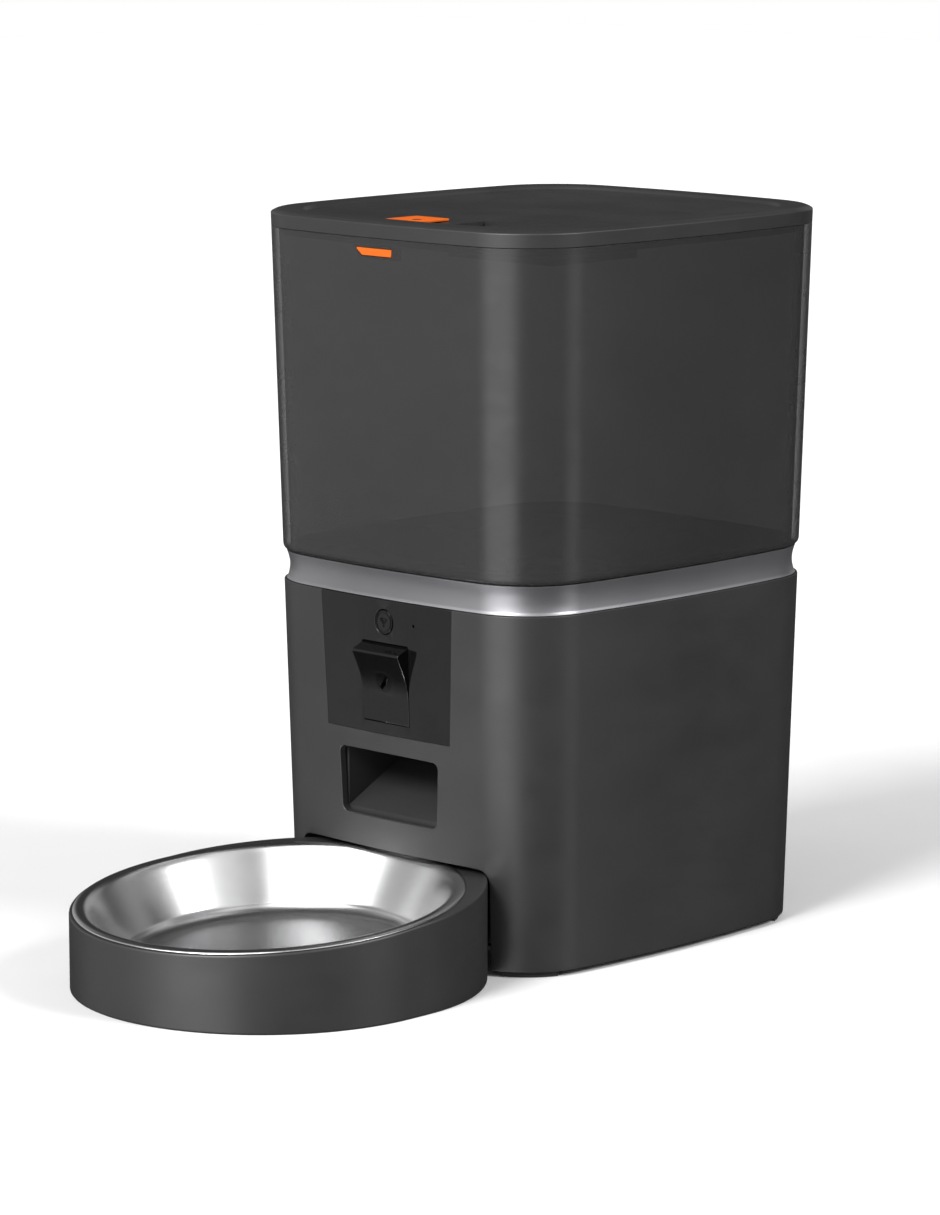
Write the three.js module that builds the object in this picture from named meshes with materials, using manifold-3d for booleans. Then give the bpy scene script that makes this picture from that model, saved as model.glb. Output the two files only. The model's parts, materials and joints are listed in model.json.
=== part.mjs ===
// Automatic pet feeder with a camera: a tapered rounded-square base and food tank, a portion
// wheel driven by a gear motor, a chute to the front outlet, and a round tray with a steel bowl.
// Units are millimetres and +Z is up. The body stands on the floor at z = 0 with its front
// towards -Y; the last group shifts everything so the origin is under the middle of the whole.
import * as THREE from 'three';
import { mergeVertices } from 'three/addons/utils/BufferGeometryUtils.js';
import Module from 'manifold-3d';

const wasm = await Module();
wasm.setup();

// ---- driving dimensions -------------------------------------------------------------------
const HEIGHT = 330;               // floor to the lid's rim
const BASE_BOTTOM = 2.2;          // the housing hangs this far above the floor
const BASE_TOP = 162;             // top edge of the base housing
const BAND_BOTTOM = BASE_TOP + 0.3;
const BAND_TOP = 175.2;           // top of the light waist band
const TANK_BOTTOM = 175.5;
const SEAM = 322.2;               // top edge of the tank, where the lid starts
const HALF_WIDTH = 90.6;          // half width at BASE_TOP
const DEPTH_RATIO = 1.118;        // depth over width of the body
const TAPER = 0.0238;             // half width gained per millimetre of height
const CORNER = 35.3;              // corner radius at BASE_TOP
const BOW = 7;                    // how far each side bulges at its middle
const GAP = 0.3;                  // gap left between touching pieces

const HOUSING_WALL = 3.2;
const TANK_WALL = 2.8;

const PANEL = { bottom: 101, halfTop: 41, halfBottom: 38.4, thick: 1.6 };
const OUTLET = { bottom: 62.3, top: 92.2, halfTop: 31, halfBottom: 29.7, corner: 2.4 };
const BAY = { half: 59.2, top: 47.2, rear: -70, corner: 5.5 };
const POCKET = { half: 14.9, bottom: 106.1, top: 142.6, corner: 0.8 };
const POD = { half: 14.3, foot: 15.4, crown: 22.15, toeY: -99.8, backY: -86 };
const CRADLE = { half: 19, inner: 16.2, frontY: -95.7, backY: -72, bottom: 101.5, top: 145.5 };
const CAMERA_PIVOT = { y: -93, z: 121, pinRadius: 1.5 };
const BUTTON = { z: 152, radius: 5.3 };
const MIC = { x: 18, z: 152.2 };
const STATUS_LIGHT = { x: -21.3, z: 152.8 };

const TRAY = { radius: 86.9, frontY: -171.9, rearY: -159.6 };
const BOWL = { radius: 85.9, y: -171.5, z: 40.5, tilt: 4.2, depth: 27, floorRadius: 62 };

const CHAMBER = { inner: 49.5, outer: 52, floor: 111.8, top: 161.5 };
const CHUTE_SLOPE = 0.5317;       // rise over run of the chute's floor
const GEAR = { module: 1.5, wheelTeeth: 30, pinionTeeth: 12, bottom: 99, top: 106.5 };
const GEAR_DISTANCE = (GEAR.module * (GEAR.wheelTeeth + GEAR.pinionTeeth)) / 2;
const SHAFT_RADIUS = 4;

const LATCH = { y: -80, half: 10.3, knobBottom: 328.3, knobTop: 329.3 };
const CATCH = { left: -12.9, right: 9.7, slant: 4.2, bottom: 314.5, top: 317.8 };
const DISH_FLOOR = 328;           // floor of the shallow dish in the lid's top
const SCOOP = { x0: 21, x1: 39, y0: -86, y1: -59, depth: 2.1 };

const BOSSES = [[74, -45], [-74, -45], [74, 60], [-74, 60]];
const SCREW = { shank: 1.4, head: 3.1 };
const JACK = { x: 55, z: 20 };
const SPEAKER = { z: 125.5, radius: 18 };
const DOOR = { half: 33, y0: -19.5, y1: 85.5, z0: 2.6, z1: 4.8 };
const DECK_SCREWS = [[83, 0], [-83, 0]];
const LENS = { z: 125, y: -101.2, tilt: 13.6, radius: 4.6 };
const LID = { bottom: SEAM + 0.3, cavity: 324.6, skirtBottom: 318.6 };
const DESICCANT = { halfX: 32, halfY: 28, wall: 1.6, bottom: 309, top: 324.3 };
const BATTERY = { radius: 17, length: 61, pitch: 34.8, middleY: 33, z: 24.5 };
const DECK = { bottom: 156.4, top: 159.2 };

// ---- solids -------------------------------------------------------------------------------
function toSolid(geometry) {
  const bare = geometry.clone();
  bare.deleteAttribute('normal');
  bare.deleteAttribute('uv');
  const merged = mergeVertices(bare, 1e-4);
  const source = merged.index.array;
  const triangles = [];
  for (let i = 0; i < source.length; i += 3) {
    const [a, b, c] = [source[i], source[i + 1], source[i + 2]];
    if (a !== b && b !== c && c !== a) triangles.push(a, b, c);
  }
  return new wasm.Manifold(new wasm.Mesh({
    numProp: 3,
    vertProperties: new Float32Array(merged.attributes.position.array),
    triVerts: new Uint32Array(triangles),
  }));
}

function toGeometry(solid) {
  const mesh = solid.getMesh();
  const geometry = new THREE.BufferGeometry();
  geometry.setAttribute('position', new THREE.BufferAttribute(mesh.vertProperties, 3));
  geometry.setIndex(new THREE.BufferAttribute(mesh.triVerts, 1));
  geometry.computeVertexNormals();
  return geometry;
}

function join(...solids) {
  return solids.reduce((sum, solid) => sum.add(solid));
}

function cut(solid, ...tools) {
  return tools.reduce((rest, tool) => rest.subtract(tool), solid);
}

function box(x0, x1, y0, y1, z0, z1) {
  const geometry = new THREE.BoxGeometry(x1 - x0, y1 - y0, z1 - z0);
  geometry.translate((x0 + x1) / 2, (y0 + y1) / 2, (z0 + z1) / 2);
  return toSolid(geometry);
}

// A rod from z0 to z1 standing at (x, y).
function rodZ(radius, z0, z1, x = 0, y = 0, sides = 24) {
  const geometry = new THREE.CylinderGeometry(radius, radius, z1 - z0, sides);
  geometry.rotateX(Math.PI / 2);
  geometry.translate(x, y, (z0 + z1) / 2);
  return toSolid(geometry);
}

// A rod from y0 to y1 through (x, z).
function rodY(radius, y0, y1, x, z, sides = 24) {
  const geometry = new THREE.CylinderGeometry(radius, radius, y1 - y0, sides);
  geometry.translate(x, (y0 + y1) / 2, z);
  return toSolid(geometry);
}

// A rod from x0 to x1 through (y, z).
function rodX(radius, x0, x1, y, z, sides = 24) {
  const geometry = new THREE.CylinderGeometry(radius, radius, x1 - x0, sides);
  geometry.rotateZ(Math.PI / 2);
  geometry.translate((x0 + x1) / 2, y, z);
  return toSolid(geometry);
}

// A round rod between two points, for slanted arms and bores.
function rodBetween(radius, from, to, sides = 16) {
  const start = new THREE.Vector3(...from);
  const span = new THREE.Vector3(...to).sub(start);
  const geometry = new THREE.CylinderGeometry(radius, radius, span.length(), sides);
  geometry.translate(0, span.length() / 2, 0);
  const turn = new THREE.Quaternion();
  turn.setFromUnitVectors(new THREE.Vector3(0, 1, 0), span.clone().normalize());
  geometry.applyQuaternion(turn);
  geometry.translate(start.x, start.y, start.z);
  return toSolid(geometry);
}

function extruded(shape, depth) {
  return new THREE.ExtrudeGeometry(shape, { depth, bevelEnabled: false, curveSegments: 6 });
}

// A shape drawn in (x, y) and raised from z0 to z1.
function prismZ(shape, z0, z1) {
  const geometry = extruded(shape, z1 - z0);
  geometry.translate(0, 0, z0);
  return toSolid(geometry);
}

// A shape drawn in (x, z) and run from y0 to y1.
function prismY(shape, y0, y1) {
  const geometry = extruded(shape, y1 - y0);
  geometry.rotateX(Math.PI / 2);
  geometry.translate(0, y1, 0);
  return toSolid(geometry);
}

// A shape drawn in (y, z) and run from x0 to x1.
function prismX(shape, x0, x1) {
  const geometry = extruded(shape, x1 - x0);
  const turn = new THREE.Matrix4();
  turn.makeBasis(new THREE.Vector3(0, 1, 0), new THREE.Vector3(0, 0, 1), new THREE.Vector3(1, 0, 0));
  geometry.applyMatrix4(turn);
  geometry.translate(x0, 0, 0);
  return toSolid(geometry);
}

// A counter-clockwise profile of [radius, height] points turned about the Z axis. It starts and
// ends on the axis, or is closed on itself here.
function turned(profile, segments = 32) {
  const points = profile.map(([radius, height]) => new THREE.Vector2(radius, height));
  const onAxis = points[0].x === 0 && points[points.length - 1].x === 0;
  if (!onAxis) points.push(points[0]);
  const geometry = new THREE.LatheGeometry(points, segments);
  geometry.rotateX(Math.PI / 2);
  return toSolid(geometry);
}

function ring(inner, outer, z0, z1, segments = 32) {
  return turned([[inner, z0], [outer, z0], [outer, z1], [inner, z1]], segments);
}

function polygon(points) {
  return new THREE.Shape(points.map(([x, y]) => new THREE.Vector2(x, y)));
}

// A trapezium symmetric about x = 0 with rounded corners.
function roundedTrapezium(bottom, top, halfBottom, halfTop, radius) {
  const corners = [[-halfBottom, bottom], [halfBottom, bottom], [halfTop, top], [-halfTop, top]];
  const shape = new THREE.Shape();
  corners.forEach(([x, y], i) => {
    const corner = new THREE.Vector2(x, y);
    const before = new THREE.Vector2(...corners[(i + 3) % 4]);
    const after = new THREE.Vector2(...corners[(i + 1) % 4]);
    const start = corner.clone().add(before.sub(corner).setLength(radius));
    const end = corner.clone().add(after.sub(corner).setLength(radius));
    if (i === 0) shape.moveTo(start.x, start.y);
    else shape.lineTo(start.x, start.y);
    shape.quadraticCurveTo(corner.x, corner.y, end.x, end.y);
  });
  return shape;
}

// ---- the body's tapered rounded-square form -------------------------------------------------
function halfWidth(z) {
  return HALF_WIDTH + TAPER * (z - BASE_TOP);
}

function frontY(z) {
  return -DEPTH_RATIO * halfWidth(z);
}

function arcPoints(cx, cy, radius, from, to, steps) {
  const points = [];
  for (let i = 0; i < steps; i += 1) {
    const angle = from + ((to - from) * i) / steps;
    points.push([cx + radius * Math.cos(angle), cy + radius * Math.sin(angle)]);
  }
  return points;
}

// One quarter of the outline: a side arc, a corner arc and an end arc, all tangent.
function quarterOutline(a, b, corner, bow) {
  const sideRadius = (b * b + bow * bow) / (2 * bow);
  const endRadius = (a * a + bow * bow) / (2 * bow);
  const side = new THREE.Vector2(a - sideRadius, 0);
  const end = new THREE.Vector2(0, b - endRadius);
  const reachSide = sideRadius - corner;
  const reachEnd = endRadius - corner;
  const span = end.clone().sub(side);
  const distance = span.length();
  const along = (reachSide ** 2 - reachEnd ** 2 + distance ** 2) / (2 * distance);
  const across = Math.sqrt(reachSide ** 2 - along ** 2);
  span.divideScalar(distance);
  const middle = side.clone().addScaledVector(span, along);
  const centre = new THREE.Vector2(middle.x - span.y * across, middle.y + span.x * across);
  if (centre.x + centre.y < 0) centre.set(middle.x + span.y * across, middle.y - span.x * across);
  const first = Math.atan2(centre.y - side.y, centre.x - side.x);
  const second = Math.atan2(centre.y - end.y, centre.x - end.x);
  return [
    ...arcPoints(side.x, side.y, sideRadius, 0, first, 2),
    ...arcPoints(centre.x, centre.y, corner, first, second, 5),
    ...arcPoints(end.x, end.y, endRadius, second, Math.PI / 2, 2),
    [0, b],
  ];
}

function bodyOutline() {
  const quarter = quarterOutline(HALF_WIDTH, HALF_WIDTH * DEPTH_RATIO, CORNER, BOW);
  const left = quarter.slice(0, -1).reverse().map(([x, y]) => [-x, y]);
  const half = [...quarter, ...left];
  const rest = half.slice(1, -1).reverse().map(([x, y]) => [x, -y]);
  return polygon([...half, ...rest]);
}

const OUTLINE = bodyOutline();

// The body's outline raised through levels of [height, inset from the outer surface].
function tapered(levels) {
  const steps = levels.length - 1;
  const geometry = new THREE.ExtrudeGeometry(OUTLINE, { depth: steps, steps, bevelEnabled: false });
  const position = geometry.attributes.position;
  for (let i = 0; i < position.count; i += 1) {
    const [z, inset] = levels[Math.round(position.getZ(i))];
    const scaleX = (halfWidth(z) - inset) / HALF_WIDTH;
    const scaleY = (DEPTH_RATIO * halfWidth(z) - inset) / (DEPTH_RATIO * HALF_WIDTH);
    position.setXYZ(i, position.getX(i) * scaleX, position.getY(i) * scaleY, z);
  }
  return toSolid(geometry);
}

// ---- materials ------------------------------------------------------------------------------
function material(color, roughness, metalness = 0) {
  return new THREE.MeshStandardMaterial({ color, roughness, metalness });
}

const MATERIALS = {
  housing: material(0x2b2b2d, 0.5),
  panel: material(0x1c1c1e, 0.2),
  tank: material(0x26262a, 0.15),
  band: material(0x8c8c93, 0.4),
  orange: material(0xf2690f, 0.4),
  steel: material(0xc9c9c9, 0.25, 1),
  rubber: material(0x141414, 0.9),
  innerPlastic: material(0x3a3a3e, 0.6),
  whitePlastic: material(0xd8d8d4, 0.6),
  silicone: material(0x55565a, 0.7),
  board: material(0x0f5a32, 0.5),
  metal: material(0xb0b2b5, 0.35, 1),
  brass: material(0xc29a4b, 0.4, 1),
  lens: material(0x050507, 0.05),
  battery: material(0x9a6a2c, 0.4, 0.4),
};

function piece(name, finish, solid) {
  const mesh = new THREE.Mesh(toGeometry(solid), MATERIALS[finish]);
  mesh.name = name;
  return mesh;
}

// ---- base housing -----------------------------------------------------------------------------

function innerBase(inset) {
  return tapered([[BASE_BOTTOM - 2, inset], [BASE_TOP + 4, inset]]);
}

// The round-topped doorway that the tray slides through.
function bayShape(top) {
  const shape = new THREE.Shape();
  const { half, corner } = BAY;
  shape.moveTo(-half, -2);
  shape.lineTo(half, -2);
  shape.lineTo(half, top - corner);
  shape.quadraticCurveTo(half, top, half - corner, top);
  shape.lineTo(corner - half, top);
  shape.quadraticCurveTo(-half, top, -half, top - corner);
  return shape;
}

function panelShape(grow) {
  const top = BASE_TOP + 2;
  const bottom = PANEL.bottom - grow;
  return polygon([
    [-PANEL.halfBottom - grow, bottom],
    [PANEL.halfBottom + grow, bottom],
    [PANEL.halfTop + grow, top],
    [-PANEL.halfTop - grow, top],
  ]);
}

function speakerSlots() {
  const slots = [];
  for (let i = -2; i <= 2; i += 1) {
    const half = 12 - Math.abs(i) * 2;
    const z = SPEAKER.z + i * 4.5;
    slots.push(box(-half, half, 80, 110, z - 0.9, z + 0.9));
  }
  return join(...slots);
}

// A column near the side wall, with a web to the wall, that takes a screw from below.
function screwBoss([x, y]) {
  const side = Math.sign(x);
  const web = box(Math.min(x, x + 9 * side), Math.max(x, x + 9 * side), y - 1.5, y + 1.5, 5.1, 16);
  return cut(join(rodZ(5, 5.1, 16, x, y, 16), web), rodZ(SCREW.shank + GAP, 4, 14.5, x, y, 12));
}

// Blocks on the side and rear walls that the top deck is screwed down on.
function deckRests() {
  const left = box(-89, -79, -20, 20, 150, 156.1);
  const right = box(79, 89, -20, 20, 150, 156.1);
  const rear = box(-20, 20, 90, 99.5, 150, 156.1);
  return join(left, right, rear);
}

// Two upright rails on the left wall that hold the edges of the main board.
function boardRails() {
  const front = box(-86, -69, -43, -40.3, 56, 122);
  const rear = box(-86, -69, 40.3, 43, 56, 122);
  return join(front, rear);
}

function trayBay(outer) {
  const block = box(-62, 62, -110, BAY.rear + 2.4, BASE_BOTTOM + 0.6, 51.6);
  const doorway = prismY(bayShape(BAY.top), -120, -90);
  const room = prismY(bayShape(BAY.top + 2), -91, BAY.rear);
  return { block: block.intersect(outer), doorway, room };
}

function baseHousing() {
  const outer = tapered([[BASE_BOTTOM, 0.8], [BASE_BOTTOM + 0.8, 0], [BASE_TOP, 0]]);
  const shell = outer.subtract(innerBase(HOUSING_WALL));
  const bay = trayBay(outer);
  const panelSeat = prismY(panelShape(GAP), -120, -60).subtract(innerBase(PANEL.thick + GAP));
  const outlet = roundedTrapezium(
    OUTLET.bottom, OUTLET.top, OUTLET.halfBottom, OUTLET.halfTop, OUTLET.corner);
  const speakerRing = rodY(21, 90, 98.5, 0, SPEAKER.z)
    .subtract(rodY(SPEAKER.radius + 0.4, 80, 96.2, 0, SPEAKER.z));
  const body = join(
    shell, bay.block, deckRests().intersect(outer), boardRails(), speakerRing,
    ...BOSSES.map(screwBoss));
  return cut(
    body, bay.doorway, bay.room,
    panelSeat,
    prismY(outlet, -120, -80),
    box(-16.6, 16.6, -120, -80, 104, 144),
    rodY(7.6, -120, -80, 0, BUTTON.z),
    rodY(3.2, -120, -80, MIC.x, MIC.z, 12),
    rodY(3.2, -120, -80, STATUS_LIGHT.x, STATUS_LIGHT.z, 12),
    rodY(4.6, 80, 120, JACK.x, JACK.z, 16),
    speakerSlots(),
    ...DECK_SCREWS.map(([x, y]) => rodZ(SCREW.shank + GAP, 151, 157, x, y, 12)),
  );
}

// A curved pad under one corner: a wide sole below the housing's edge and a narrower heel that
// reaches up to the base plate.
function foot(signX, signY) {
  const sector = (outer) => {
    const centre = [49.7 * signX, 60.4 * signY];
    const middle = Math.atan2(signY, signX);
    const shape = new THREE.Shape();
    shape.absarc(...centre, outer, middle - 0.4, middle + 0.4, false);
    shape.absarc(...centre, 21, middle + 0.4, middle - 0.4, true);
    return shape;
  };
  return join(prismZ(sector(32.4), 0, 1.9), prismZ(sector(29.6), 1, 2.3));
}

// ---- bottom of the base -------------------------------------------------------------------------

function basePlate() {
  const plate = tapered([[DOOR.z0, 3.6], [DOOR.z1, 3.6]]);
  return cut(
    plate,
    box(-62.3, 62.3, -120, BAY.rear + 2.7, 0, 10),
    box(-DOOR.half - GAP, DOOR.half + GAP, DOOR.y0 - GAP, DOOR.y1 + GAP, 0, 10),
    ...BOSSES.map(([x, y]) => rodZ(SCREW.shank + GAP, 0, 10, x, y, 12)),
  );
}

function batteryBox() {
  const outer = box(-35.5, 35.5, DOOR.y0 - 2.5, DOOR.y1 + 2.5, 5.1, 44);
  const room = box(-33.3, 33.3, DOOR.y0 - 0.5, DOOR.y1 + 0.5, 4, 42);
  return outer.subtract(room);
}

// A door that closes the battery box from below, with a row of finger grooves.
function batteryDoor() {
  const plate = box(-DOOR.half, DOOR.half, DOOR.y0, DOOR.y1, DOOR.z0, DOOR.z1);
  const grooves = [];
  for (let i = 0; i < 4; i += 1) {
    const y = DOOR.y0 + 8 + i * 4;
    grooves.push(box(-14, 14, y, y + 1.8, DOOR.z0 - 1, DOOR.z0 + 0.8));
  }
  return cut(plate, ...grooves);
}

function battery(index) {
  const y = BATTERY.middleY + (index - 1) * BATTERY.pitch;
  const half = BATTERY.length / 2;
  return join(
    rodX(BATTERY.radius, -half, half, y, BATTERY.z, 28),
    rodX(4.5, half - 1, half + 1, y, BATTERY.z, 16),
  );
}

// One spring-steel strip along the box wall, with a raised pad for each cell.
function batteryContacts() {
  const strip = box(-33, -32.4, DOOR.y0 + 2, DOOR.y1 - 2, 12, 37);
  const pads = [-1, 0, 1].map((step) => {
    const y = BATTERY.middleY + step * BATTERY.pitch;
    return rodX(7, -32.5, -31, y, BATTERY.z, 16);
  });
  return join(strip, ...pads);
}

function baseScrew([x, y]) {
  const head = rodZ(SCREW.head, 0.8, 2.3, x, y, 16);
  const slot = rodZ(1.4, 0, 1.5, x, y, 6);
  return join(head, rodZ(SCREW.shank, 2, 13.5, x, y, 12)).subtract(slot);
}

// ---- top of the base ------------------------------------------------------------------------------

function topDeck() {
  const plate = tapered([[DECK.bottom, 3.6], [DECK.top, 3.6]]);
  return cut(
    plate,
    box(-28, 28, -120, -91, 150, 165),
    rodZ(CHAMBER.outer + 0.6, 150, 165, 0, 0, 32),
    ...DECK_SCREWS.map(([x, y]) => rodZ(SCREW.shank + GAP, 150, 165, x, y, 12)),
  );
}

function deckScrew([x, y]) {
  const head = rodZ(SCREW.head, DECK.top + GAP, 161, x, y, 16);
  const slot = rodZ(1.4, 160.2, 165, x, y, 6);
  return join(head, rodZ(SCREW.shank, 152, 160, x, y, 12)).subtract(slot);
}

function waistBand() {
  const outer = tapered([
    [BAND_BOTTOM, 0.5], [163.2, 1.1], [165.5, 1.9], [168.5, 2.2],
    [171.5, 1.9], [174, 1.3], [BAND_TOP, 1.1],
  ]);
  return outer.subtract(tapered([[BAND_BOTTOM - 1, 6.8], [BAND_TOP + 1, 6.8]]));
}

// ---- portioning drive -------------------------------------------------------------------------------
function dosingChamber() {
  const { inner, outer, floor, top } = CHAMBER;
  const cup = turned([
    [7.6, floor], [outer, floor], [outer, 159.5], [57, 159.5],
    [57, top], [inner, top], [inner, floor + 2.5], [7.6, floor + 2.5],
  ], 32);
  const shield = box(-50, 50, -50, -20, 151.4, 153.4).intersect(rodZ(50.5, 150, 155, 0, 0, 40));
  return join(cup, shield).subtract(box(-21, 21, -43.5, -28.5, 100, 120));
}

function shaftBushing() {
  const bore = SHAFT_RADIUS + GAP;
  return turned([[bore, 109.3], [9, 109.3], [9, 111.5], [7.3, 111.5], [7.3, 114.6], [bore, 114.6]], 24);
}

function portionWheel() {
  const hub = ring(SHAFT_RADIUS + GAP, 12, 115.3, 150, 24);
  const blades = [];
  for (let i = 0; i < 3; i += 1) {
    const geometry = new THREE.BoxGeometry(2 * 48.7, 2, 34);
    geometry.translate(0, 0, 132.5);
    geometry.rotateZ(Math.PI / 6 + (i * Math.PI) / 3);
    blades.push(toSolid(geometry));
  }
  const bore = rodZ(10, 100, 160, 0, 0, 24);
  return join(hub, join(...blades).subtract(bore));
}

// A domed cap that turns with the wheel, with four bent fingers that keep the kibble loose.
function foodStirrer() {
  const hole = SHAFT_RADIUS + GAP;
  const dome = turned([
    [0, 155], [hole, 155], [hole, 150.4], [14, 150.4], [14, 157], [12, 161.5], [7, 165], [0, 166.5],
  ], 24);
  const fingers = [];
  for (let i = 0; i < 4; i += 1) {
    const angle = Math.PI / 8 + (i * Math.PI) / 2;
    const at = (radius, z) => [radius * Math.cos(angle), radius * Math.sin(angle), z];
    fingers.push(rodBetween(3, at(8, 158.6), at(34, 158.6), 8));
    fingers.push(rodBetween(3, at(33, 157), at(36, 174), 8));
  }
  return join(dome, join(...fingers).subtract(rodZ(7, 150, 170)));
}

function gearShape(teeth, bore) {
  const pitchRadius = (GEAR.module * teeth) / 2;
  const tip = pitchRadius + 0.85 * GEAR.module;
  const root = pitchRadius - 1.15 * GEAR.module;
  const step = (2 * Math.PI) / teeth;
  const points = [];
  for (let i = 0; i < teeth; i += 1) {
    const outline = [[root, -0.3], [tip, -0.1], [tip, 0.1], [root, 0.3]];
    outline.forEach(([radius, part]) => {
      const angle = (i + part) * step;
      points.push([radius * Math.cos(angle), radius * Math.sin(angle)]);
    });
  }
  const shape = polygon(points);
  if (bore > 0) {
    const hole = new THREE.Path();
    hole.absarc(0, 0, bore, 0, 2 * Math.PI, true);
    shape.holes.push(hole);
  }
  return shape;
}

function motorPinion() {
  const teeth = prismZ(gearShape(GEAR.pinionTeeth, 0), GEAR.bottom - 0.5, GEAR.top + 0.5);
  return join(teeth, rodZ(2.4, 94, GEAR.bottom));
}

function driveFrame() {
  const plate = box(-36, 36, -22, 48, 94, 96.5);
  const posts = [[31, -16], [-31, -16], [28, 38], [-28, 38]];
  const body = join(plate, ...posts.map(([x, y]) => rodZ(3.5, 96, 111.5, x, y, 12)));
  return cut(
    body,
    rodZ(SHAFT_RADIUS + GAP, 90, 100),
    rodZ(3, 90, 100, 0, GEAR_DISTANCE),
  );
}

function gearMotor() {
  const gearbox = box(-16, 16, GEAR_DISTANCE - 19.5, GEAR_DISTANCE + 19.5, 70, 93.7);
  const can = rodZ(12, 47.5, 70.5, 0, GEAR_DISTANCE, 24);
  const bearing = rodZ(3.5, 45.5, 48, 0, GEAR_DISTANCE, 12);
  return join(gearbox, can, bearing);
}

// A two-core lead from the motor to the main board.
function motorCable() {
  const path = new THREE.CatmullRomCurve3([
    new THREE.Vector3(-12.6, GEAR_DISTANCE, 58),
    new THREE.Vector3(-22, GEAR_DISTANCE, 57),
    new THREE.Vector3(-40, 28, 60),
    new THREE.Vector3(-58, 22, 74),
    new THREE.Vector3(-68, 20, 80),
  ]);
  const section = new THREE.Shape();
  section.absarc(0, 0, 1.6, 0, 2 * Math.PI, false);
  const settings = { steps: 14, extrudePath: path, curveSegments: 4 };
  return toSolid(new THREE.ExtrudeGeometry(section, settings));
}

// ---- chute --------------------------------------------------------------------------------------------
function foodChute() {
  const frontOuter = 61.6;
  const frontInner = 62.5;
  const rise = (distance) => CHUTE_SLOPE * distance;
  const outer = polygon([
    [-93.9, frontOuter], [-26.3, frontOuter + rise(68.3)], [-26.3, 111.5],
    [-46, 111.5], [-46, 99], [-55, 93.9], [-93.9, 93.9],
  ]);
  const inner = polygon([
    [-97, frontInner], [-28.3, frontInner + rise(68.7)], [-28.3, 113],
    [-44, 113], [-44, 98], [-54, 91.9], [-97, 91.9],
  ]);
  return prismX(outer, -31.8, 31.8).subtract(prismX(inner, -29.8, 29.8));
}

function dropSensor(side) {
  const body = side > 0 ? box(32.1, 37, -80, -70, 72, 82) : box(-37, -32.1, -80, -70, 72, 82);
  const eye = side > 0 ? [36.5, 38] : [-38, -36.5];
  return join(body, rodX(2.5, ...eye, -75, 77, 12));
}

// ---- electronics -------------------------------------------------------------------------------------------
function mainBoard() {
  const board = box(-72, -70.4, -40, 40, 58, 120);
  const processor = box(-70.5, -68, -12, 6, 92, 108);
  const socket = box(-70.5, -66, 14, 26, 84, 90);
  const capacitor = rodX(5, -70.5, -58, -26, 74, 16);
  return join(board, processor, socket, capacitor);
}

function buttonBoard() {
  return box(-26, 26, -93.5, -92, 146.5, 155.9);
}

function buttonSwitch() {
  return join(box(-3, 3, -96, -93.8, 149, 155), rodY(1.4, -96.6, -95.9, 0, BUTTON.z, 12));
}

function speaker() {
  const frame = rodY(SPEAKER.radius, 91, 95.8, 0, SPEAKER.z, 28);
  return join(frame, rodY(9, 84, 91.5, 0, SPEAKER.z, 20));
}

function dcJack() {
  const socket = rodY(4.2, 88, 93.6, JACK.x, JACK.z, 16);
  const body = box(JACK.x - 5, JACK.x + 5, 76, 88.5, JACK.z - 5.5, JACK.z + 5);
  const bore = rodY(2.8, 80, 96, JACK.x, JACK.z, 16);
  return cut(join(socket, body), bore).add(rodY(0.9, 79, 92, JACK.x, JACK.z, 8));
}

// ---- front panel, button and camera ----------------------------------------------------------------------------
function frontPanel() {
  const outer = tapered([[80, 0], [BASE_TOP, 0]]);
  const skin = outer.subtract(innerBase(PANEL.thick));
  const opening = roundedTrapezium(
    POCKET.bottom, POCKET.top, POCKET.half, POCKET.half, POCKET.corner);
  return cut(
    skin.intersect(prismY(panelShape(0), -120, -60)),
    prismY(opening, -120, -80),
    rodY(BUTTON.radius + 0.5, -120, -80, 0, BUTTON.z),
    rodY(0.9, -120, -80, MIC.x, MIC.z, 8),
  );
}

function wifiButton() {
  const face = frontY(BUTTON.z);
  return join(
    rodY(BUTTON.radius, face - 0.1, face + 2.6, 0, BUTTON.z),
    rodY(6.6, face + 2.1, face + 3, 0, BUTTON.z),
    rodY(2.2, face + 2.9, face + 3.3, 0, BUTTON.z, 12),
  );
}

function microphone() {
  return rodY(2.8, -98.6, -93.8, MIC.x, MIC.z, 12);
}

function statusLight() {
  return rodY(2.4, -98.6, -93.8, STATUS_LIGHT.x, STATUS_LIGHT.z, 12);
}

function cameraCradle() {
  const { y, z } = CAMERA_PIVOT;
  const { half, inner, frontY: mouth, backY, bottom, top } = CRADLE;
  return cut(
    box(-half, half, mouth, backY, bottom, top),
    box(-inner, inner, mouth - 4.3, backY - 2, bottom + 1.5, top - 1.3),
    rodX(1.9, -30, 30, y, z, 12),
    box(-6, 6, -80, -60, 108, 116),
  );
}

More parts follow.
